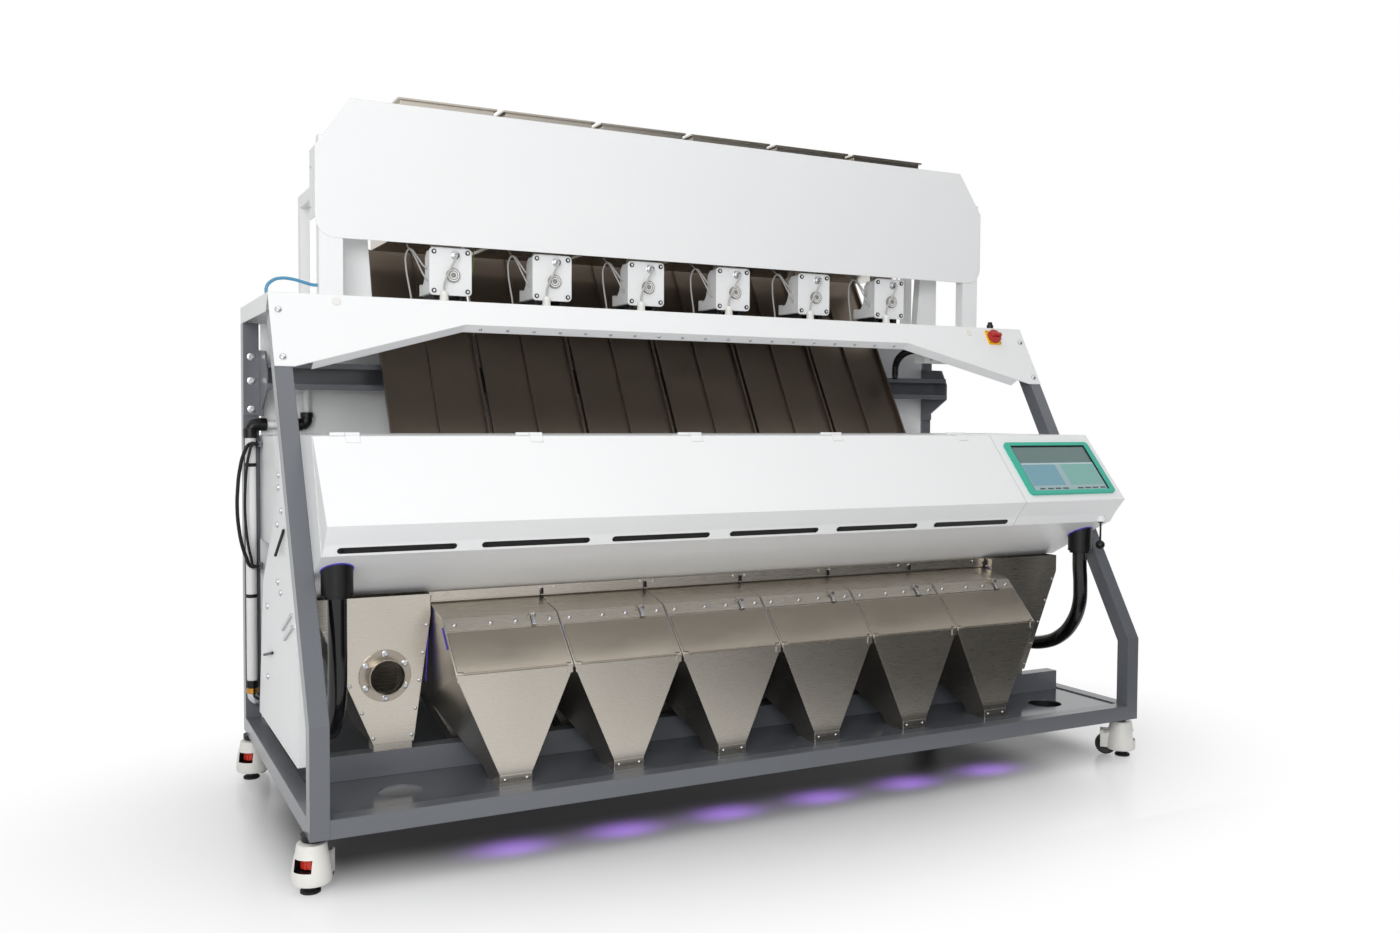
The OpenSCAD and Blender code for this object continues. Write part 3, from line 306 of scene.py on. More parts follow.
# %% [markdown]
# ## Modelling by hand, in code
# Every new piece starts from a primitive and is then extruded, scaled or bevelled, as it would be with the mouse. A
# turned part is a circle that is extruded ring by ring. A bent tube is a Bezier curve with a round bevel, made a
# mesh at the end. A repeated part is made once and stamped wherever a matrix puts it.

# %% Modelling helpers


def only(piece):
    bpy.ops.object.select_all(action="DESELECT")
    piece.select_set(True)
    bpy.context.view_layer.objects.active = piece


def smooth(piece, degrees=38):
    only(piece)
    bpy.ops.object.shade_smooth_by_angle(angle=math.radians(degrees))
    return piece


def turned(rings, sides=24):
    """Round part along Z at the origin: one (radius, height) pair in millimetres for each ring."""
    bpy.ops.object.select_all(action="DESELECT")
    radius, height = rings[0]
    bpy.ops.mesh.primitive_circle_add(vertices=sides, radius=radius * MM, fill_type="NGON")
    piece = bpy.context.object
    bpy.ops.object.mode_set(mode="EDIT")
    bpy.ops.transform.translate(value=(0, 0, height * MM))
    for wide, high in rings[1:]:
        bpy.ops.mesh.extrude_region_move(TRANSFORM_OT_translate={"value": (0, 0, (high - height) * MM)})
        bpy.ops.transform.resize(value=(wide / radius, wide / radius, 1), center_override=(0, 0, high * MM))
        radius, height = wide, high
    bpy.ops.mesh.select_all(action="SELECT")
    bpy.ops.mesh.normals_make_consistent(inside=False)
    bpy.ops.object.mode_set(mode="OBJECT")
    return smooth(piece)


def block(low, high, bevel=0.0, segments=2):
    """Box between two corners in millimetres, with its edges bevelled."""
    bpy.ops.object.select_all(action="DESELECT")
    low, high = Vector(low) * MM, Vector(high) * MM
    bpy.ops.mesh.primitive_cube_add(size=1, location=(low + high) / 2)
    piece = bpy.context.object
    piece.scale = high - low
    bpy.ops.object.transform_apply(location=True, rotation=True, scale=True)
    if bevel:
        bpy.ops.object.mode_set(mode="EDIT")
        bpy.ops.mesh.select_all(action="SELECT")
        bpy.ops.mesh.bevel(offset=bevel * MM, segments=segments, affect="EDGES")
        bpy.ops.object.mode_set(mode="OBJECT")
    return smooth(piece)


def route(points):
    """Smooth Bezier curve through points in metres."""
    bpy.ops.object.select_all(action="DESELECT")
    bpy.ops.curve.primitive_bezier_curve_add()
    curve = bpy.context.object
    curve.data.dimensions = "3D"
    knots = curve.data.splines[0].bezier_points
    knots.add(len(points) - 2)
    for knot, point in zip(knots, points):
        knot.co = point
        knot.handle_left_type = knot.handle_right_type = "AUTO"
    curve.data.resolution_u = 6
    return curve


def bent_tube(points, radius):
    """Round tube or cable with closed ends along a route."""
    curve = route(points)
    curve.data.bevel_depth = radius * MM
    curve.data.bevel_resolution = 3
    curve.data.use_fill_caps = True
    only(curve)
    bpy.ops.object.convert(target="MESH")
    return smooth(bpy.context.object, 60)


def joined(parts):
    bpy.ops.object.select_all(action="DESELECT")
    for part in parts:
        part.select_set(True)
    bpy.context.view_layer.objects.active = parts[0]
    if len(parts) > 1:
        bpy.ops.object.join()
    return bpy.context.view_layer.objects.active


def moved(piece, matrix):
    piece.data.transform(matrix)
    return piece


def twin(piece, matrix):
    """Copy with its own mesh, put in its place."""
    other = piece.copy()
    other.data = piece.data.copy()
    bpy.context.collection.objects.link(other)
    return moved(other, matrix)


def stamped(piece, matrices):
    """One piece made of a copy at each matrix; the pattern is thrown away."""
    copies = [twin(piece, matrix) for matrix in matrices]
    bpy.data.objects.remove(piece)
    return joined(copies)


def settle(piece, name, material, body, slot, *hides):
    """Names a piece, paints it, hangs it on a body of the machine and hides the solids that it stands for."""
    piece.name = piece.data.name = name
    piece.data.materials.clear()
    piece.data.materials.append(material)
    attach(piece, body)
    if hides:
        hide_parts(*hides)
    print(name, len(piece.data.polygons), "faces")
    return piece


# %% [markdown]
# ## Extraction hoses
# The two black hoses are ribbed PVC: a wire spiral under a soft skin. One rib is turned, repeated by an Array and
# bent along the route by a Curve modifier. A spiral and a stack of rings look the same from here, and rings are
# simpler. The end faces of the one rib are deleted first, or there would be a wall across the hose at every rib.

# %% Extraction hoses
RIB_SIDES = 22


def ribbed_hose(points, radius, pitch):
    """Hose through points in metres; its radius and the pitch of its ribs are in millimetres."""
    curve = route(points)
    length = curve.data.splines[0].calc_length() / MM
    count = round(length / pitch)
    step = length / count
    root, shoulder, crest = radius - 4.4, radius - 1.2, radius - 0.2
    rib = turned([(root, 0), (shoulder, step * 0.18), (crest, step * 0.42), (shoulder, step * 0.66),
                  (root, step * 0.84), (root, step)], RIB_SIDES)
    bpy.ops.object.mode_set(mode="EDIT")
    bpy.ops.mesh.select_all(action="DESELECT")
    bpy.ops.mesh.select_face_by_sides(number=RIB_SIDES, type="EQUAL")
    bpy.ops.mesh.delete(type="FACE")
    bpy.ops.object.mode_set(mode="OBJECT")
    stack = rib.modifiers.new("ribs", "ARRAY")
    stack.count = count
    stack.use_relative_offset = False
    stack.use_constant_offset = True
    stack.constant_offset_displace = (0, 0, step * MM)
    stack.use_merge_vertices = True
    bend = rib.modifiers.new("bend", "CURVE")
    bend.object = curve
    bend.deform_axis = "POS_Z"
    only(rib)
    bpy.ops.object.modifier_apply(modifier="ribs")
    bpy.ops.object.modifier_apply(modifier="bend")
    bpy.data.objects.remove(curve)
    print("hose of %.0f mm, %d ribs" % (length, count))
    return smooth(rib, 70)


LEFT_HOSE = [(186, 738), (186, 640), (186, 540), (200, 450), (250, 380), (340, 335), (450, 320), (570, 330), (690, 380),
             (790, 460), (860, 560), (892, 660), (900, 740), (900, 799)]
RIGHT_HOSE = [(186, 738), (186, 690), (180, 610), (184, 540), (215, 470), (275, 410), (360, 372), (460, 358),
              (570, 368), (690, 405), (790, 475), (860, 565), (892, 660), (900, 740), (900, 799)]
HOSE_X, HOSE_Y, HOSE_RADIUS, HOSE_PITCH = 1330, 186, 29.8, 11
hoses = joined([ribbed_hose([at(side * HOSE_X, y, z) for y, z in points], HOSE_RADIUS, HOSE_PITCH)
                for side, points in ((-1, LEFT_HOSE), (1, RIGHT_HOSE))])
settle(hoses, "ribbed_hoses", hose_pvc, "machine", "black_rubber", "extraction_hoses")

# %% [markdown]
# ## Compressed-air line
# A white PVC pipe climbs behind the side panel. Black compression elbows with ribbed nuts join it to a branch under
# the bridge. At the bottom a brass ring holds a cast steel elbow with a flange. The nuts are turned with few sides
# and no smoothing, so that their flats catch the light like ribs.

# %% Air line
PIPE = at(-1418, 1172, 0)
RIGHTWARDS = (1, 0, 0)
BEND_Z, BRANCH_X, CAST_Z = 1185, 182, 254


def on_pipe(x, z):
    return PIPE + mm(x, 0, z)


def upright(x, z):
    return Matrix.Translation(on_pipe(x, z))


def sideways(x, z):
    return facing(on_pipe(x, z), RIGHTWARDS)


def elbow(points, radius):
    return bent_tube([on_pipe(x, z) for x, z in points], radius)


def nut(length, radius):
    piece = turned([(radius - 1.5, 0), (radius, 1.5), (radius, length - 1.5), (radius - 1.5, length)], 14)
    only(piece)
    bpy.ops.object.shade_flat()
    return piece


pipe = joined([moved(turned([(16.2, 326), (17, 328), (17, 1138), (16.2, 1140)], 32), upright(0, 0)),
               moved(turned([(12.4, 52), (13, 53), (13, 155), (12.4, 156)], 24), sideways(0, BEND_Z)),
               moved(turned([(10.4, 1222), (11, 1223), (11, 1571), (10.4, 1572)], 24), upright(BRANCH_X, 0))])
settle(pipe, "air_pipe", pipe_pvc, "machine", "pipe_plastic", "air_line")
elbows = joined([elbow([(0, 1140), (0, 1160), (7, 1178), (25, BEND_Z), (50, BEND_Z)], 19.5),
                 moved(nut(32, 23), upright(0, 1140)),
                 moved(nut(26, 21.5), sideways(26, BEND_Z)),
                 elbow([(156, BEND_Z), (168, BEND_Z), (180, 1194), (BRANCH_X, 1208), (BRANCH_X, 1222)], 18.5),
                 moved(nut(16, 21), sideways(152, BEND_Z)),
                 moved(nut(18, 21), upright(BRANCH_X, 1208)),
                 moved(nut(24, 21.5), upright(0, 304))])
settle(elbows, "air_elbows", black_abs, "machine", "black_plastic")
tie = turned([(17.2, 0), (19, 1), (19, 11), (17.2, 12)], 24)
settle(stamped(tie, [upright(0, z) for z in (606, 1044)]), "pipe_ties", black_rubber, "machine", "black_rubber")
settle(moved(nut(20, 19), upright(0, 284)), "brass_ring", brass, "machine", "bolt_steel")
cast = joined([elbow([(0, 288), (0, 276), (9, 262), (26, CAST_Z), (46, CAST_Z)], 15.5),
               moved(turned([(19.5, 0), (21, 1.5), (21, 7.5), (19.5, 9)], 24), sideways(44, CAST_Z))])
settle(cast, "cast_elbow", zinc, "machine", "bolt_steel")

# %% [markdown]
# ## Cables
# Two black cables hang in a loop at the left rear post, a blue air tube arches over the deck, and every drive has
# grey leads. They are held at both ends, so they are only drawn along their routes.

# %% Cables
POST_X = -1398
LOOP = [(POST_X, 1120), (-1424, 1120), (-1442, 1090), (-1456, 1035), (-1463, 970), (-1465, 910), (-1460, 840),
        (-1448, 775), (-1438, 745), (-1424, 715), (POST_X, 715)]
loops = joined([bent_tube([at(x, 1140, z) for x, z in LOOP], 6),
                bent_tube([at(POST_X + (x - POST_X) * 0.66, 1129, z) for x, z in LOOP], 4.5)])
settle(loops, "loop_cables", black_rubber, "machine", "black_rubber", "service_cables")
BLUE = [(-1424, 1575), (-1424, 1599), (-1408, 1619), (-1384, 1628), (-1350, 1627), (-1315, 1619), (-1290, 1613),
        (-1276, 1613)]
settle(bent_tube([at(x, 740, z) for x, z in BLUE], 5), "blue_air_tube", blue_tube, "machine", "teal_plastic")
gland = joined([nut(16, 13), turned([(9.5, 16), (9.5, 22), (8, 26), (6, 27)], 24)])
moved(gland, Matrix.Translation(at(1299, 658.3, 1575)))
settle(gland, "bridge_gland", black_abs, "machine", "black_plastic")

# %% [markdown]
# ## Feeder drives
# Each drive is an aluminium casting behind a painted front plate, on rubber mounts. The plate carries a ridged boss,
# a chrome connector and a plastic gland, with a grey lead that hangs between them. They are small, so each is turned
# once, then stamped on all six drives.

# %% Details of the drives
DRIVES = [at(x, 734, 1678) for x in MODULES]


def on_drives(x, y, z, axis):
    return [facing(drive + mm(x, y, z), axis) for drive in DRIVES]


boss = turned([(22, 0), (22.4, 2), (22.4, 10.5), (21, 12.6), (19, 12.6), (18.4, 11.2), (15.6, 11.2), (15, 13),
               (12.6, 13), (12, 11.4), (8.6, 11.4), (8, 13.6), (3, 14)], 32)
settle(stamped(boss, on_drives(6, 0, -12, FRONT)), "drive_bosses", grey_abs, "machine", "white_plastic")
plug = turned([(13.5, 0), (13.5, 3), (11.6, 4), (11.6, 9), (12.4, 9.6), (12.4, 14.4), (11, 15.4), (6, 16),
               (4.6, 20)], 24)
settle(stamped(plug, on_drives(13, 0, 52, FRONT)), "drive_connectors", zinc, "machine", "bolt_steel")
cap = joined([nut(16, 14), turned([(13.2, 16), (13.2, 30), (11, 34), (7, 36.4), (5, 40)], 24)])
settle(stamped(cap, on_drives(-27, -18, -103, (0, 0, 1))), "drive_glands", white_abs, "machine", "white_plastic")
corner_screw = turned([(7.6, 0), (7.6, 4), (6.8, 5), (4.2, 5), (4.0, 2.6)], 18)
spots = [m for x in (-55, 55) for z in (-62, 62) for m in on_drives(x, 0, z, FRONT)]
settle(stamped(corner_screw, spots), "drive_screws", dark_steel, "machine", "bolt_steel")
foot = block((-8.8, 21, -91.4), (8.8, 141, -69), 3)
spots = [Matrix.Translation(drive + mm(x, 0, 0)) for x in (-44, 44) for drive in DRIVES]
settle(stamped(foot, spots), "drive_mounts", black_rubber, "machine", "black_rubber")

# %% Leads of the drives
LEAD = [(-27, -18, -67), (-27, -18, -55), (-25, -22, -35), (-18, -28, -13), (-6, -32, 13), (5, -33, 36), (12, -30, 49),
        (13, -22, 52), (13, -14, 52)]
LOOPED = [(-60, 60, 10), (-76, 52, 22), (-94, 60, 50), (-112, 74, 74), (-120, 92, 60), (-118, 104, 22),
          (-108, 112, -30), (-98, 118, -76), (-92, 130, -102)]
CROSSED = [(-62, 40, -30), (-76, 34, -16), (-90, 44, 16), (-106, 66, 62), (-114, 90, 82), (-110, 120, 98),
           (-100, 150, 104)]
EARTH = [(62, 40, -40), (72, 36, -34), (82, 44, 0), (92, 60, 50), (98, 78, 84), (100, 100, 104)]
at_drives = [Matrix.Translation(drive) for drive in DRIVES]
lead = joined([bent_tube([mm(*p) for p in points], radius)
               for points, radius in ((LEAD, 3.5), (LOOPED, 3.0), (CROSSED, 2.6))])
settle(stamped(lead, at_drives), "drive_leads", grey_cable, "machine", "white_plastic")
wire = bent_tube([mm(*p) for p in EARTH], 1.8)
settle(stamped(wire, at_drives), "earth_wires", earth_wire, "machine", "white_plastic")

# %% [markdown]
# ## Touch screen
# The screen is a glass panel in a teal bezel. Black strips along its top and side edges are painted shade: they darken
# the inner walls of the bezel, whose bottom wall is hidden from here. What it shows is made of faces: a fine grid is
# cut into panels by the finish of each face, so the picture needs no image. The glass is the clear coat of the same
# material.

# %% Touch screen
SCREEN_AT = COVER @ Matrix.Translation(mm(1160, 143, 0))
HALF_W, HALF_H = 175, 100


def lit_glass(name, colour, glow):
    material, tree, shader = finish(name, colour, Roughness=0.30, Coat_Weight=0.6, Coat_Roughness=0.06,
                                    Emission_Color=linear(colour), Emission_Strength=glow)
    slow = add(tree, "ShaderNodeTexNoise", {"Vector": place(tree, (1, 1, 1)), "Scale": per_mm(120), "Detail": 1.0})
    tone = add(tree, "ShaderNodeMapRange", {"Value": slow.outputs["Fac"], "To Min": 0.22, "To Max": 0.36})
    tree.links.new(tone.outputs["Result"], shader.inputs["Roughness"])
    return material


SCREEN_TONES = [lit_glass("screen_ground", "#8FA9AE", 0.10), lit_glass("screen_left_panel", "#5F93A3", 0.10),
                lit_glass("screen_right_panel", "#6AA39C", 0.10), lit_glass("screen_keys", "#1F2A2E", 0.0),
                lit_glass("screen_lines", "#A9BEC1", 0.12), lit_glass("screen_band", "#4A6866", 0.06)]


def tone_of(x, y):
    """Which tone a place on the screen has; x and y in millimetres from its lower left corner."""
    if 8 < y < 15:
        for first in (30, 206):
            if first < x < first + 136 and (x - first) % 36 < 27:
                return 3
    if 22 < y < 118:
        return 1 if 12 < x < 160 else 2 if 186 < x < 340 else 0
    if 118 < y < 124:
        return 4
    return 5 if y > 124 else 0


bpy.ops.object.select_all(action="DESELECT")
bpy.ops.mesh.primitive_grid_add(x_subdivisions=100, y_subdivisions=60, size=1)
screen = bpy.context.object
screen.scale = (0.3496, 0.1996, 1)
bpy.ops.object.transform_apply(scale=True)
bpy.ops.object.mode_set(mode="EDIT")
bpy.ops.mesh.select_all(action="SELECT")
bpy.ops.mesh.extrude_region_move(TRANSFORM_OT_translate={"value": (0, 0, 0.0042)})
bpy.ops.mesh.select_all(action="SELECT")
bpy.ops.mesh.normals_make_consistent(inside=False)
bpy.ops.object.mode_set(mode="OBJECT")
tones = [tone_of(face.center.x / MM + HALF_W, face.center.y / MM + HALF_H) for face in screen.data.polygons]
moved(screen, SCREEN_AT)
settle(screen, "lit_screen", SCREEN_TONES[0], "machine", "screen_glass", "touch_screen")
for material in SCREEN_TONES[1:]:
    screen.data.materials.append(material)
for face, tone in zip(screen.data.polygons, tones):
    face.material_index = tone
# Painted shade: black strips on the top and side inner walls of the bezel.
wall_shade = joined([block((-HALF_W, HALF_H - 4, 0.5), (HALF_W, HALF_H, 7.5), 0.6),
                 block((-HALF_W, -HALF_H, 0.5), (-HALF_W + 3.5, HALF_H - 3, 7.5), 0.6),
                 block((HALF_W - 3.5, -HALF_H, 0.5), (HALF_W, HALF_H - 3, 7.5), 0.6)])
settle(moved(wall_shade, SCREEN_AT), "screen_wall_shade", black_rubber, "machine", "black_rubber")

# %% [markdown]
# ## Mains isolator
# A yellow plate with four small screws, and a red knob whose grip shows which way it is turned. The knob is a turned
# disc with a bevelled bar across it.

# %% Mains isolator
ISOLATOR_X, ISOLATOR_S = 1278, 1262.5
knob = joined([turned([(27, 0), (28.5, 1.5), (28.5, 12), (26, 16), (20, 17.5)], 40),
               block((-23, -7.3, 14), (23, 7.3, 27.6), 3.5, 3)])
moved(knob, BRIDGE @ Matrix.Translation(mm(ISOLATOR_X, ISOLATOR_S, 8.4)))
settle(knob, "isolator_grip", dark_red_abs, "isolator_knob", "red_plastic", "isolator_knob")
spots = [BRIDGE @ Matrix.Translation(mm(ISOLATOR_X + x, ISOLATOR_S + y, 8)) for x in (-25, 25) for y in (-25, 25)]
dot = turned([(2.6, 0), (2.6, 0.8), (1.6, 1.2)], 12)
settle(stamped(dot, spots), "isolator_screws", dark_steel, "machine", "bolt_steel")

# %% [markdown]
# ## Casters
# A levelling caster: a white nylon shell around a steel core, a wheel behind, and a rubber pad in front that a red
# dial winds down. The shell is turned in one go. A Boolean then cuts the window for the dial and the arch for the
# wheel, and the walls of the window are painted black, as the hollow is on the real one.

# %% Casters
CASTERS = [Matrix.Translation(at(x, y, 0)) @ Matrix.Rotation(math.radians(turn), 4, "Z")
           for x, y, turn in ((-LEG_X, 72, -42), (LEG_X, 72, 45), (-LEG_X, 1178, -38), (LEG_X, 1178, 40))]
SHELL_Y, PAD_Y = -15.4, -22
WINDOW_HALF, WINDOW_LOW, WINDOW_HIGH = 25, 61, 93


def cut(piece, tool):
    """Boolean difference; the tool is thrown away."""
    knife = piece.modifiers.new("cut", "BOOLEAN")
    knife.operation = "DIFFERENCE"
    knife.object = tool
    only(piece)
    bpy.ops.object.modifier_apply(modifier="cut")
    bpy.data.objects.remove(tool)
    return piece


def in_window(spot):
    """True on the walls of the window; the spot is in millimetres from the foot of the caster."""
    back = math.hypot(spot.x, spot.y - PAD_Y) < WINDOW_HALF + 0.5
    front = abs(spot.x) < WINDOW_HALF + 0.5 and spot.y < PAD_Y and math.hypot(spot.x, spot.y - SHELL_Y) < 44
    return WINDOW_LOW - 0.5 < spot.z < WINDOW_HIGH + 0.5 and (back or front)


shell = turned([(46, 24), (49, 26), (51, 32), (51.2, 42), (51, 52), (49.6, 62), (47, 80), (44.5, 92), (42, 102),
                (40.6, 105), (40, 112), (38.6, 121), (37, 126), (34, 127)], 48)
moved(shell, Matrix.Translation(mm(0, SHELL_Y, 0)))
over_pad = Matrix.Translation(mm(0, PAD_Y, 0))
arms = [block((x - 4, 0, 30), (x + 4, 56, 92), 2) for x in (-20, 20)] + [block((-24, 0, 80), (24, 48, 92), 2)]
cut(shell, block((-16, -2, -5), (16, 90, 79)))
cut(shell, moved(turned([(WINDOW_HALF, WINDOW_LOW), (WINDOW_HALF, WINDOW_HIGH)], 40), over_pad))
cut(shell, block((-WINDOW_HALF, -80, WINDOW_LOW), (WINDOW_HALF, PAD_Y, WINDOW_HIGH)))
cut(shell, moved(turned([(29, -1), (29, 25.8)], 40), over_pad))
shell = smooth(joined([shell] + arms), 30)
pad = joined([turned([(24, 0), (26, 1.5), (26, 7), (24, 9), (17, 10), (16, 17)], 40),
              turned([(8, 16), (8, 61)], 24), turned([(8, 89.5), (8, 99)], 24)])
moved(pad, over_pad)
tyre = turned([(10, -13.4), (24, -13.4), (26, -14.6), (33.5, -15), (36, -13), (37, -8), (37, 8), (36, 13),
               (33.5, 15), (26, 14.6), (24, 13.4), (10, 13.4)], 48)
moved(tyre, facing(mm(0, 36, 39), RIGHTWARDS))
for i, spot in enumerate(CASTERS, 1):
    body = settle(twin(shell, spot), "caster_shell_%d" % i, white_abs, "caster_body_%d" % i, "white_plastic",
                  "caster_body_%d" % i)
    body.data.materials.append(black_abs)
    home = spot.inverted()
    for face in body.data.polygons:
        if in_window(home @ face.center / MM):
            face.material_index = 1
    settle(twin(pad, spot), "caster_pad_%d" % i, black_rubber, "caster_body_%d" % i, "black_rubber")
    settle(twin(tyre, spot), "caster_tyre_%d" % i, black_rubber, "caster_wheel_%d" % i, "black_rubber",
           "caster_wheel_%d" % i)
for pattern in (shell, pad, tyre):
    bpy.data.objects.remove(pattern)

# %% [markdown]
# ## Bolts and screws
# Two patterns are enough: a pan head, which is a turned dome, and a hexagon with its washer, which is turned with six
# sides. Each is stamped where the machine has its bolts, with its axis out of the sheet.

# %% Bolts and screws


def pan_head(radius):
    rings = ((1, 0), (1, 0.32), (0.86, 0.55), (0.5, 0.7), (0.2, 0.72))
    return turned([(radius * wide, radius * high) for wide, high in rings], 18)


def hex_head(radius):
    washer = turned([(radius * 1.45, 0), (radius * 1.5, 0.4), (radius * 1.5, 1.6), (radius * 1.4, 2)], 22)
    head = turned([(radius * 1.1, 2), (radius * 1.1, 2 + radius * 0.6), (radius * 0.9, 2 + radius * 0.72)], 6)
    only(head)
    bpy.ops.object.shade_flat()
    return joined([washer, head])


def on_bridge(x, s, n, axis=(0, 0, 1)):
    return BRIDGE @ facing(mm(x, s, n), axis)


spots = [on_bridge(x, s, 3) for x in (-LEG_X, LEG_X) for s in (1085, 1246.5)]
large = stamped(pan_head(10), spots)
small = stamped(pan_head(5.4), [on_bridge(k * 89, 1221, -20, (0, -1, 0)) for k in range(-9, 10)] +
                [facing(at(x, y, 1575), (0, 0, 1)) for x in (-1190, 1190) for y in (680, 790, 1000)] +
                [facing(at(s * 1287, 772, z), (s, 0, 0)) for s in (-1, 1) for z in (1857, 1977)] +
                [facing(at(x, 705, 1447), FRONT) for x in (1045, 1140, 1235)])
posts = stamped(hex_head(8.5), [facing(at(x, 1194, z), FRONT) for x in (-LEG_X, LEG_X) for z in (1235, 1330, 1410)])
settle(joined([large, small, posts]), "frame_screws", zinc, "machine", "bolt_steel", "frame_bolts")
plugs = stamped(turned([(14, 0), (14, 1.6), (12.5, 3), (6, 3.2)], 28),
                [on_bridge(-1242, 1284.5, 3), on_bridge(1164, 1280.5, 3)])
settle(plugs, "bridge_plugs", white_abs, "machine", "white_plastic")

# %% Bolts of the outlets and funnels
PORT_X, PORT_Z, PORT_RING = -1171, 480, 63
strip = [sheet @ Matrix.Translation(mm(x, 167.5, 2)) for sheet in SLOPES for x in (-140, -35, 40, 145)]
feet = [facing(at(x + dx, 96, 206), FRONT) for x in MODULES for dx in (-32, 32)]
rail = [facing(at(k * PITCH * 0.97 + dx, 366, 697), FRONT) for k in range(-3, 4) for dx in (-22, 22)]
edges = [facing(at(s * (a + (b - a) * t), 330, 645 - 360 * t), FRONT) for s in (-1, 1)
         for a, b in ((1048, 1098), (1347, 1197)) for t in (0.08, 0.3, 0.52, 0.74, 0.95)]
outlet_screws = joined([stamped(pan_head(7), strip), stamped(pan_head(4.5), feet), stamped(pan_head(5.6), rail),
                        stamped(pan_head(5), edges)])
settle(outlet_screws, "outlet_screws", zinc, "machine", "bolt_steel")
turns = [math.radians(degrees) for degrees in range(30, 360, 60)]
ring = [facing(at(PORT_X + PORT_RING * math.cos(a), 325, PORT_Z + PORT_RING * math.sin(a)), FRONT) for a in turns]
settle(stamped(hex_head(6.4), ring), "port_bolts", zinc, "machine", "bolt_steel")
tab = block((-4.5, -7, -9), (4.5, 0, 9), 1)
tabs = stamped(tab, [Matrix.Translation(at(k * PITCH, 366, 688)) for k in range(-3, 4)])
settle(tabs, "rail_tabs", black_abs, "machine", "black_plastic")

# %% [markdown]
# ## Sample doors
# A piano hinge carries each door: short knuckles on one pin. The solid has a plain barrel, so thin rings over it
# give the line of knuckles. The toggle latch is a bent lever with a hooked end, built from bevelled blocks.

# %% Knuckles and latches
knuckle = turned([(3.2, 0), (3.6, 0.4), (3.6, 20.6), (3.2, 21)], 14)
along_x = Matrix.Rotation(math.radians(90), 4, "Y")
knuckles = stamped(knuckle, [Matrix.Translation(mm(-149 + 25 * k, -2, 3.6)) @ along_x for k in range(12)])
lever = joined([block((-6, -32, -4.4), (6, 0, -1), 1), block((-8, -38, -4.4), (8, -26, 0.6), 1.4),
                block((-3.5, -30, -2), (3.5, -4, 1.2), 1.2),
                moved(turned([(4.4, -6), (5, -5.4), (5, 5.4), (4.4, 6)], 20), along_x)])
latch_pin = Matrix.Translation(mm(92, 182, 9))
for i, sheet in enumerate(SLOPES, 1):
    settle(twin(knuckles, sheet), "door_knuckles_%d" % i, shaded_stainless, "sample_door_%d" % i, "stainless")
    settle(twin(lever, sheet @ latch_pin), "toggle_lever_%d" % i, zinc, "door_latch_%d" % i, "bolt_steel",
           "door_latch_%d" % i)
for pattern in (knuckles, lever):
    bpy.data.objects.remove(pattern)

# %% [markdown]
# ## Violet light
# Lamps inside the outlets shine out of the joints between them, and round the tops of the hoses. Thin strips of a
# glowing plastic stand for it. Their strength stays low, so that they tint and don't dazzle.

# %% Light strips
violet_glow, tree, shader = finish("violet_light_strip", "#2A1F66", Roughness=0.4, Emission_Color=linear("#5A48F0"),
                                   Emission_Strength=0.9)
cloud = add(tree, "ShaderNodeTexNoise", {"Vector": place(tree, (1, 1, 1)), "Scale": per_mm(60), "Detail": 1.0})
power = add(tree, "ShaderNodeMapRange", {"Value": cloud.outputs["Fac"], "To Min": 0.05, "To Max": 0.45})
tree.links.new(power.outputs["Result"], shader.inputs["Emission Strength"])
GAP = [(1038, 675), (1044, 560), (1050, 450)]
COLLAR_RING = 42.6
strips = [moved(block((-1.1, 96, -16), (1.1, 168, -8), 0.4), slope(k * PITCH)) for k in range(-3, 4)]
strips += [bent_tube([at(s * x, 348, z) for x, z in GAP], 1.6) for s in (-1, 1)]
settle(joined(strips), "light_strips", violet_glow, "machine", "screen_glass")


def on_collar(side, turn):
    """Point of the ring where a hose collar meets the sloped underside of the housing."""
    back = COLLAR_RING * math.sin(turn)
    return at(side * HOSE_X + COLLAR_RING * math.cos(turn), HOSE_Y + back, 848 - 0.509 * (86 + back))


turns = [math.radians(20 * k) for k in range(19)]
rims = joined([bent_tube([on_collar(s, a) for a in turns], 1.8) for s in (-1, 1)])
settle(rims, "collar_light_rims", violet_glow, "machine", "screen_glass")

# %% [markdown]
# ## Painted shade in the deck hole
# The round hole at the right end of the deck looks onto shaded floor. A black cup hung under it is painted shade: it
# stands for that dark and is no part of the machine.

# %% Deck hole shade
# Painted shade: a black cup in the deck hole.
cup = turned([(61, -70), (61, -4.5), (58.5, -4.5), (58.5, -66)], 48)
settle(moved(cup, Matrix.Translation(at(1165, 180, 191))), "deck_hole_shade", black_rubber, "machine", "black_rubber")

# %% [markdown]
# ## Slots under the nose
# A row of slots runs under the nose of the cover. A black lining with round ends lies over each.

# %% Slot linings
CHIN = tilted(0, 75, 882, -56.73)
CHIN_HALF = 19.1
SLOT_LONG, SLOT_HALF, SLOT_FIRST, SLOT_PITCH = 297, 9.5, -1191.3, 385.33
BACK, FACE = -0.8, 0.4
lining = joined([block((-SLOT_LONG / 2, -SLOT_HALF, BACK), (SLOT_LONG / 2, SLOT_HALF, FACE))] +
                [moved(turned([(SLOT_HALF, BACK), (SLOT_HALF, FACE)], 24),
                       Matrix.Translation(mm(s * SLOT_LONG / 2, 0, 0))) for s in (-1, 1)])
spots = [CHIN @ Matrix.Translation(mm(SLOT_FIRST + SLOT_PITCH * i, CHIN_HALF, 0)) for i in range(6)]
settle(stamped(lining, spots), "slot_linings", black_abs, "optics_cover", "black_plastic")

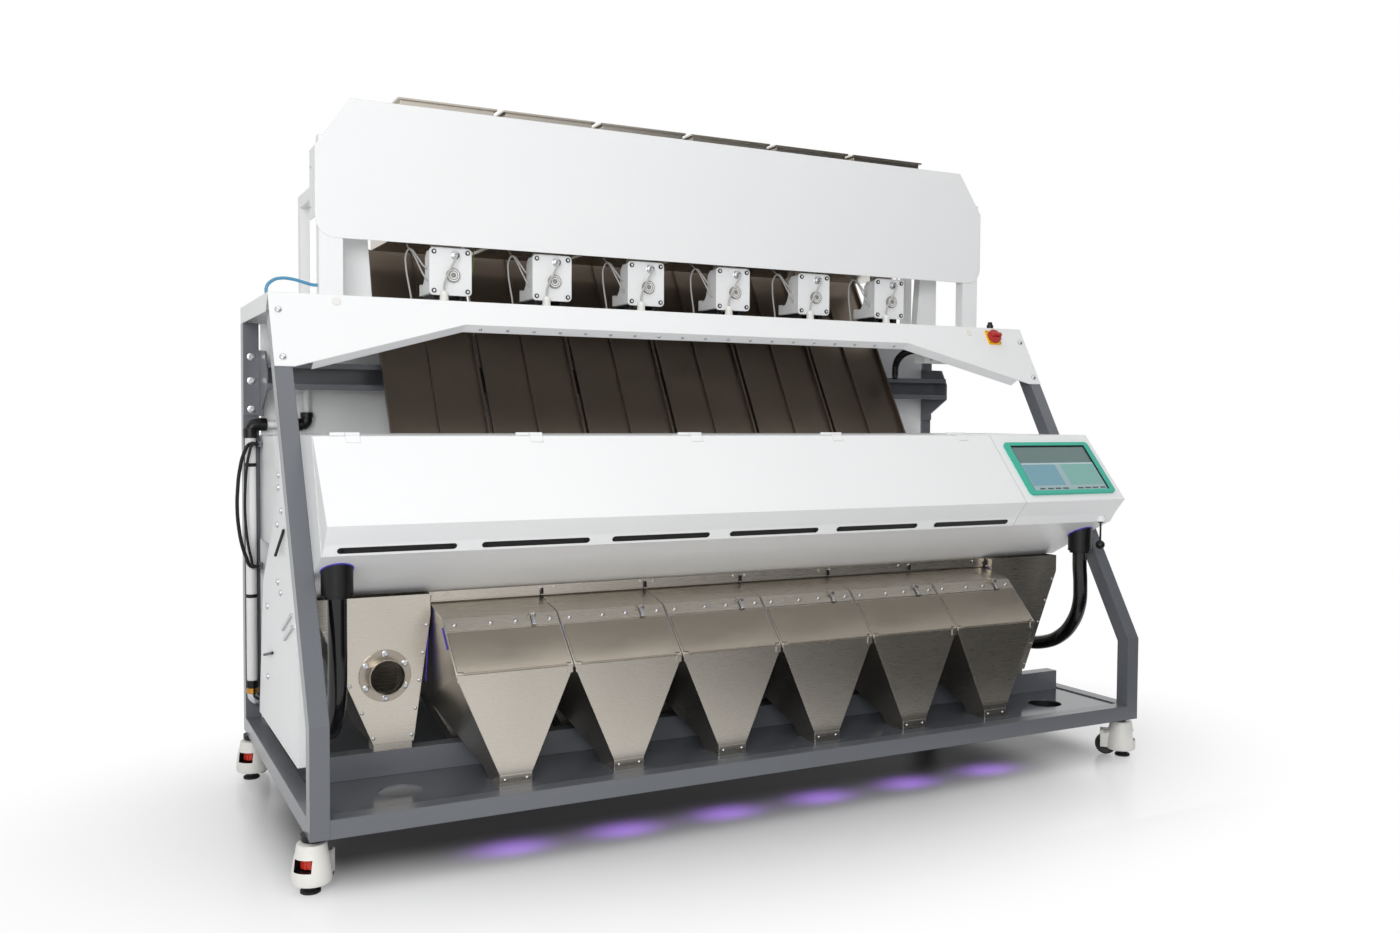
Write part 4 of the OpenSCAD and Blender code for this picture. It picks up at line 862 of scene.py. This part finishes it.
# %% [markdown]
# ## Hardware of the side panel
# Large pan-head screws and two clamp bars hold the left side panel, and two black levers open it. A short ribbed
# conduit climbs behind the bridge from the cross channel.

# %% Side panel and conduit
PANEL_X = -1411
CATCHES = [(620, 1040), (627, 1003), (576, 938), (647, 892), (646, 722), (595, 696), (860, 400), (860, 620)]
CLAMPS = [((552, 596), (400, 660)), ((520, 572), (370, 632))]
LEVERS = [((519, 886), (614, 804)), ((750, 492), (850, 470))]
CONDUIT = [(1018, 1376), (1018, 1406), (1021, 1435), (1041, 1467), (1081, 1490), (1147, 1499)]


def on_panel(y, z, out=0):
    return at(PANEL_X - out, y, z)


catches = stamped(pan_head(10), [facing(on_panel(y, z), (-1, 0, 0)) for y, z in CATCHES])
clamps = joined([bent_tube([on_panel(*a, 3), on_panel(*b, 3)], 6) for a, b in CLAMPS])
settle(joined([catches, clamps]), "panel_catches", zinc, "machine", "bolt_steel")
levers = joined([bent_tube([on_panel(*a, 3), on_panel(*b, 12)], 4.5) for a, b in LEVERS])
settle(levers, "panel_levers", black_abs, "machine", "black_plastic")
conduit = ribbed_hose([at(x, 900, z) for x, z in CONDUIT], 15, 6)
settle(conduit, "ribbed_conduit", hose_pvc, "machine", "black_rubber")

# %% [markdown]
# ## Handles of the rear cover
# The rear cover lifts by two bow handles. Each is one bent rod between two feet.

# %% Rear handles
HANDLE_X, HANDLE_Z = 900, 740
BOW = [(-55, 1251), (-55, 1256), (-46, 1262), (-30, 1264), (30, 1264), (46, 1262), (55, 1256), (55, 1251)]
bows = [bent_tube([at(middle + x, y, HANDLE_Z) for x, y in BOW], 5) for middle in (-HANDLE_X, HANDLE_X)]
settle(joined(bows), "rear_handles", black_abs, "rear_cover", "black_plastic")

# %% [markdown]
# ## Studio
# A white sweep of floor, a large soft lamp at the front left, a weaker one above and the world itself as a fill. Two
# dark cards, one low over the floor and one tall at the right, are seen only in mirror rays: they cast no shadow and
# don't dim the light on anything, so they are painted dark reflections in the steel, darker towards the right. Without
# them the metal mirrors white on all sides and looks like paper. The floor turns to pure white with distance for the
# camera and for mirror rays. Near the machine it stays a real surface that takes its shadow, and under the machine its
# colour is darkened as painted shade.

# %% Floor
# The second floor colour is painted shade for the floor under the machine.
FLOOR_WHITE, FLOOR_PAINTED_SHADE = "#F6F6F7", "#5A5859"


def under(tree, along, inner, outer):
    """Painted shade mask: 1 under the machine along one axis, falling to 0 between two distances from the middle."""
    size = add(tree, "ShaderNodeMath", {0: along}, operation="ABSOLUTE")
    return add(tree, "ShaderNodeMapRange", {"Value": size.outputs["Value"], "From Min": outer, "From Max": inner},
               interpolation_type="SMOOTHSTEP").outputs["Result"]


bpy.ops.object.select_all(action="DESELECT")
bpy.ops.mesh.primitive_grid_add(x_subdivisions=8, y_subdivisions=8, size=60)
floor = bpy.context.object
floor.name = "studio_floor"
floor_paint, tree, shader = finish("studio_floor", FLOOR_WHITE, Roughness=0.22, Specular_IOR_Level=0.35)
spot = add(tree, "ShaderNodeTexCoord")
reach = add(tree, "ShaderNodeVectorMath", {0: spot.outputs["Object"], 1: (0.62, 1.0, 0.0)}, operation="MULTIPLY")
far = add(tree, "ShaderNodeVectorMath", {0: reach.outputs["Vector"]}, operation="LENGTH")
fade = add(tree, "ShaderNodeMapRange", {"Value": far.outputs["Value"], "From Min": 0.62, "From Max": 1.55},
           interpolation_type="SMOOTHSTEP")
split = add(tree, "ShaderNodeSeparateXYZ", {"Vector": spot.outputs["Object"]})
# Painted shade: under the machine the floor's colour darkens, and there it doesn't fade to white.
painted_shade_mask = add(tree, "ShaderNodeMath", {0: under(tree, split.outputs["X"], 1.30, 1.52),
                                    1: under(tree, split.outputs["Y"], 0.34, 0.70)},
           operation="MULTIPLY").outputs["Value"]
tree.links.new(blend(tree, painted_shade_mask, FLOOR_WHITE, FLOOR_PAINTED_SHADE), shader.inputs["Base Color"])
unshaded = add(tree, "ShaderNodeMath", {0: 1.0, 1: painted_shade_mask}, operation="SUBTRACT")
fade = add(tree, "ShaderNodeMath", {0: fade.outputs["Result"], 1: unshaded.outputs["Value"]}, operation="MULTIPLY")
ray = add(tree, "ShaderNodeLightPath")
seen = add(tree, "ShaderNodeMath", {0: ray.outputs["Is Camera Ray"], 1: ray.outputs["Is Glossy Ray"]},
           operation="MAXIMUM")
part = add(tree, "ShaderNodeMath", {0: seen.outputs["Value"], 1: fade.outputs["Value"]}, operation="MULTIPLY")
glow = add(tree, "ShaderNodeEmission", {"Color": (1, 1, 1, 1), "Strength": 1.0})
mixed = add(tree, "ShaderNodeMixShader", {0: part.outputs["Value"], 1: shader.outputs["BSDF"],
                                          2: glow.outputs["Emission"]})
tree.links.new(mixed.outputs["Shader"], tree.nodes["Material Output"].inputs["Surface"])
floor.data.materials.append(floor_paint)

# %% Dark cards: painted reflections
mirror_only_card_paint, tree, shader = finish("dark_card", "#141414", Roughness=0.9)
spot = add(tree, "ShaderNodeTexCoord")
side = add(tree, "ShaderNodeSeparateXYZ", {"Vector": spot.outputs["Object"]})
# Painted reflection: the card is clear at the left and darkens towards the right.
dark = add(tree, "ShaderNodeMapRange", {"Value": side.outputs["X"], "From Min": -0.5, "From Max": 1.5},
           interpolation_type="SMOOTHSTEP")
clear = add(tree, "ShaderNodeBsdfTransparent")
mixed = add(tree, "ShaderNodeMixShader", {0: dark.outputs["Result"], 1: clear.outputs["BSDF"],
                                          2: shader.outputs["BSDF"]})
tree.links.new(mixed.outputs["Shader"], tree.nodes["Material Output"].inputs["Surface"])


def dark_card(name, place_of):
    bpy.ops.object.select_all(action="DESELECT")
    bpy.ops.mesh.primitive_grid_add(x_subdivisions=2, y_subdivisions=2, size=1)
    card = bpy.context.object
    card.name = name
    moved(card, place_of)
    card.data.materials.append(mirror_only_card_paint)
    # Seen only in mirror rays and casting no shadow: a painted dark reflection.
    card.visible_camera = card.visible_diffuse = card.visible_shadow = False


dark_card("low_dark_card", Matrix.Translation((2.0, -2.9, 0.004)) @ Matrix.Diagonal((6.0, 3.6, 1, 1)))
dark_card("tall_dark_card", Matrix.Translation((5.4, -4.4, 2.4)) @ Matrix.Rotation(math.radians(-50), 4, "Z")
          @ Matrix.Rotation(math.radians(90), 4, "Y") @ Matrix.Diagonal((5.6, 7.5, 1, 1)))

# %% World and lamps
world = bpy.data.worlds.new("white_studio")
bpy.context.scene.world = world
world.use_nodes = True
tree = world.node_tree
ray = add(tree, "ShaderNodeLightPath")
seen = add(tree, "ShaderNodeMath", {0: ray.outputs["Is Camera Ray"], 1: ray.outputs["Is Transmission Ray"]},
           operation="MAXIMUM")
mirrored = add(tree, "ShaderNodeMath", {0: seen.outputs["Value"], 1: ray.outputs["Is Glossy Ray"]}, operation="MAXIMUM")
strength = add(tree, "ShaderNodeMapRange", {"Value": mirrored.outputs["Value"], "To Min": 0.45, "To Max": 1.0})
tree.nodes["Background"].inputs["Color"].default_value = (1, 1, 1, 1)
tree.links.new(strength.outputs["Result"], tree.nodes["Background"].inputs["Strength"])


def soft_lamp(name, where, aim, size, watts):
    bpy.ops.object.light_add(type="AREA", location=where)
    lamp = bpy.context.object
    lamp.name = name
    lamp.data.shape = "RECTANGLE"
    lamp.data.size, lamp.data.size_y = size
    lamp.data.energy = watts
    lamp.rotation_euler = (Vector(aim) - Vector(where)).to_track_quat("-Z", "Y").to_euler()


soft_lamp("key_window", (-3.2, -5.2, 2.6), (-0.3, 0, 1.0), (3.0, 2.4), 160)
soft_lamp("ceiling_window", (-0.6, -0.6, 5.2), (0, 0, 0), (5.0, 3.0), 45)

# %% [markdown]
# ## Light on the floor
# Under each front spout a violet lamp throws a soft spot on the floor, which shows as a small pool in front of the
# machine's shadow.

# %% Floor spots
for i, x in enumerate(MODULES, 1):
    bpy.ops.object.light_add(type="SPOT", location=at(x, 142, 140))
    lamp = bpy.context.object
    lamp.name = "floor_spot_%d" % i
    lamp.scale = (1.7, 0.8, 1)
    lamp.data.energy = 1.1
    lamp.data.color = linear("#B070FF")[:3]
    lamp.data.spot_size = math.radians(88)
    lamp.data.spot_blend = 1.0
    lamp.data.shadow_soft_size = 0.03
bpy.context.scene.view_settings.view_transform = "Standard"
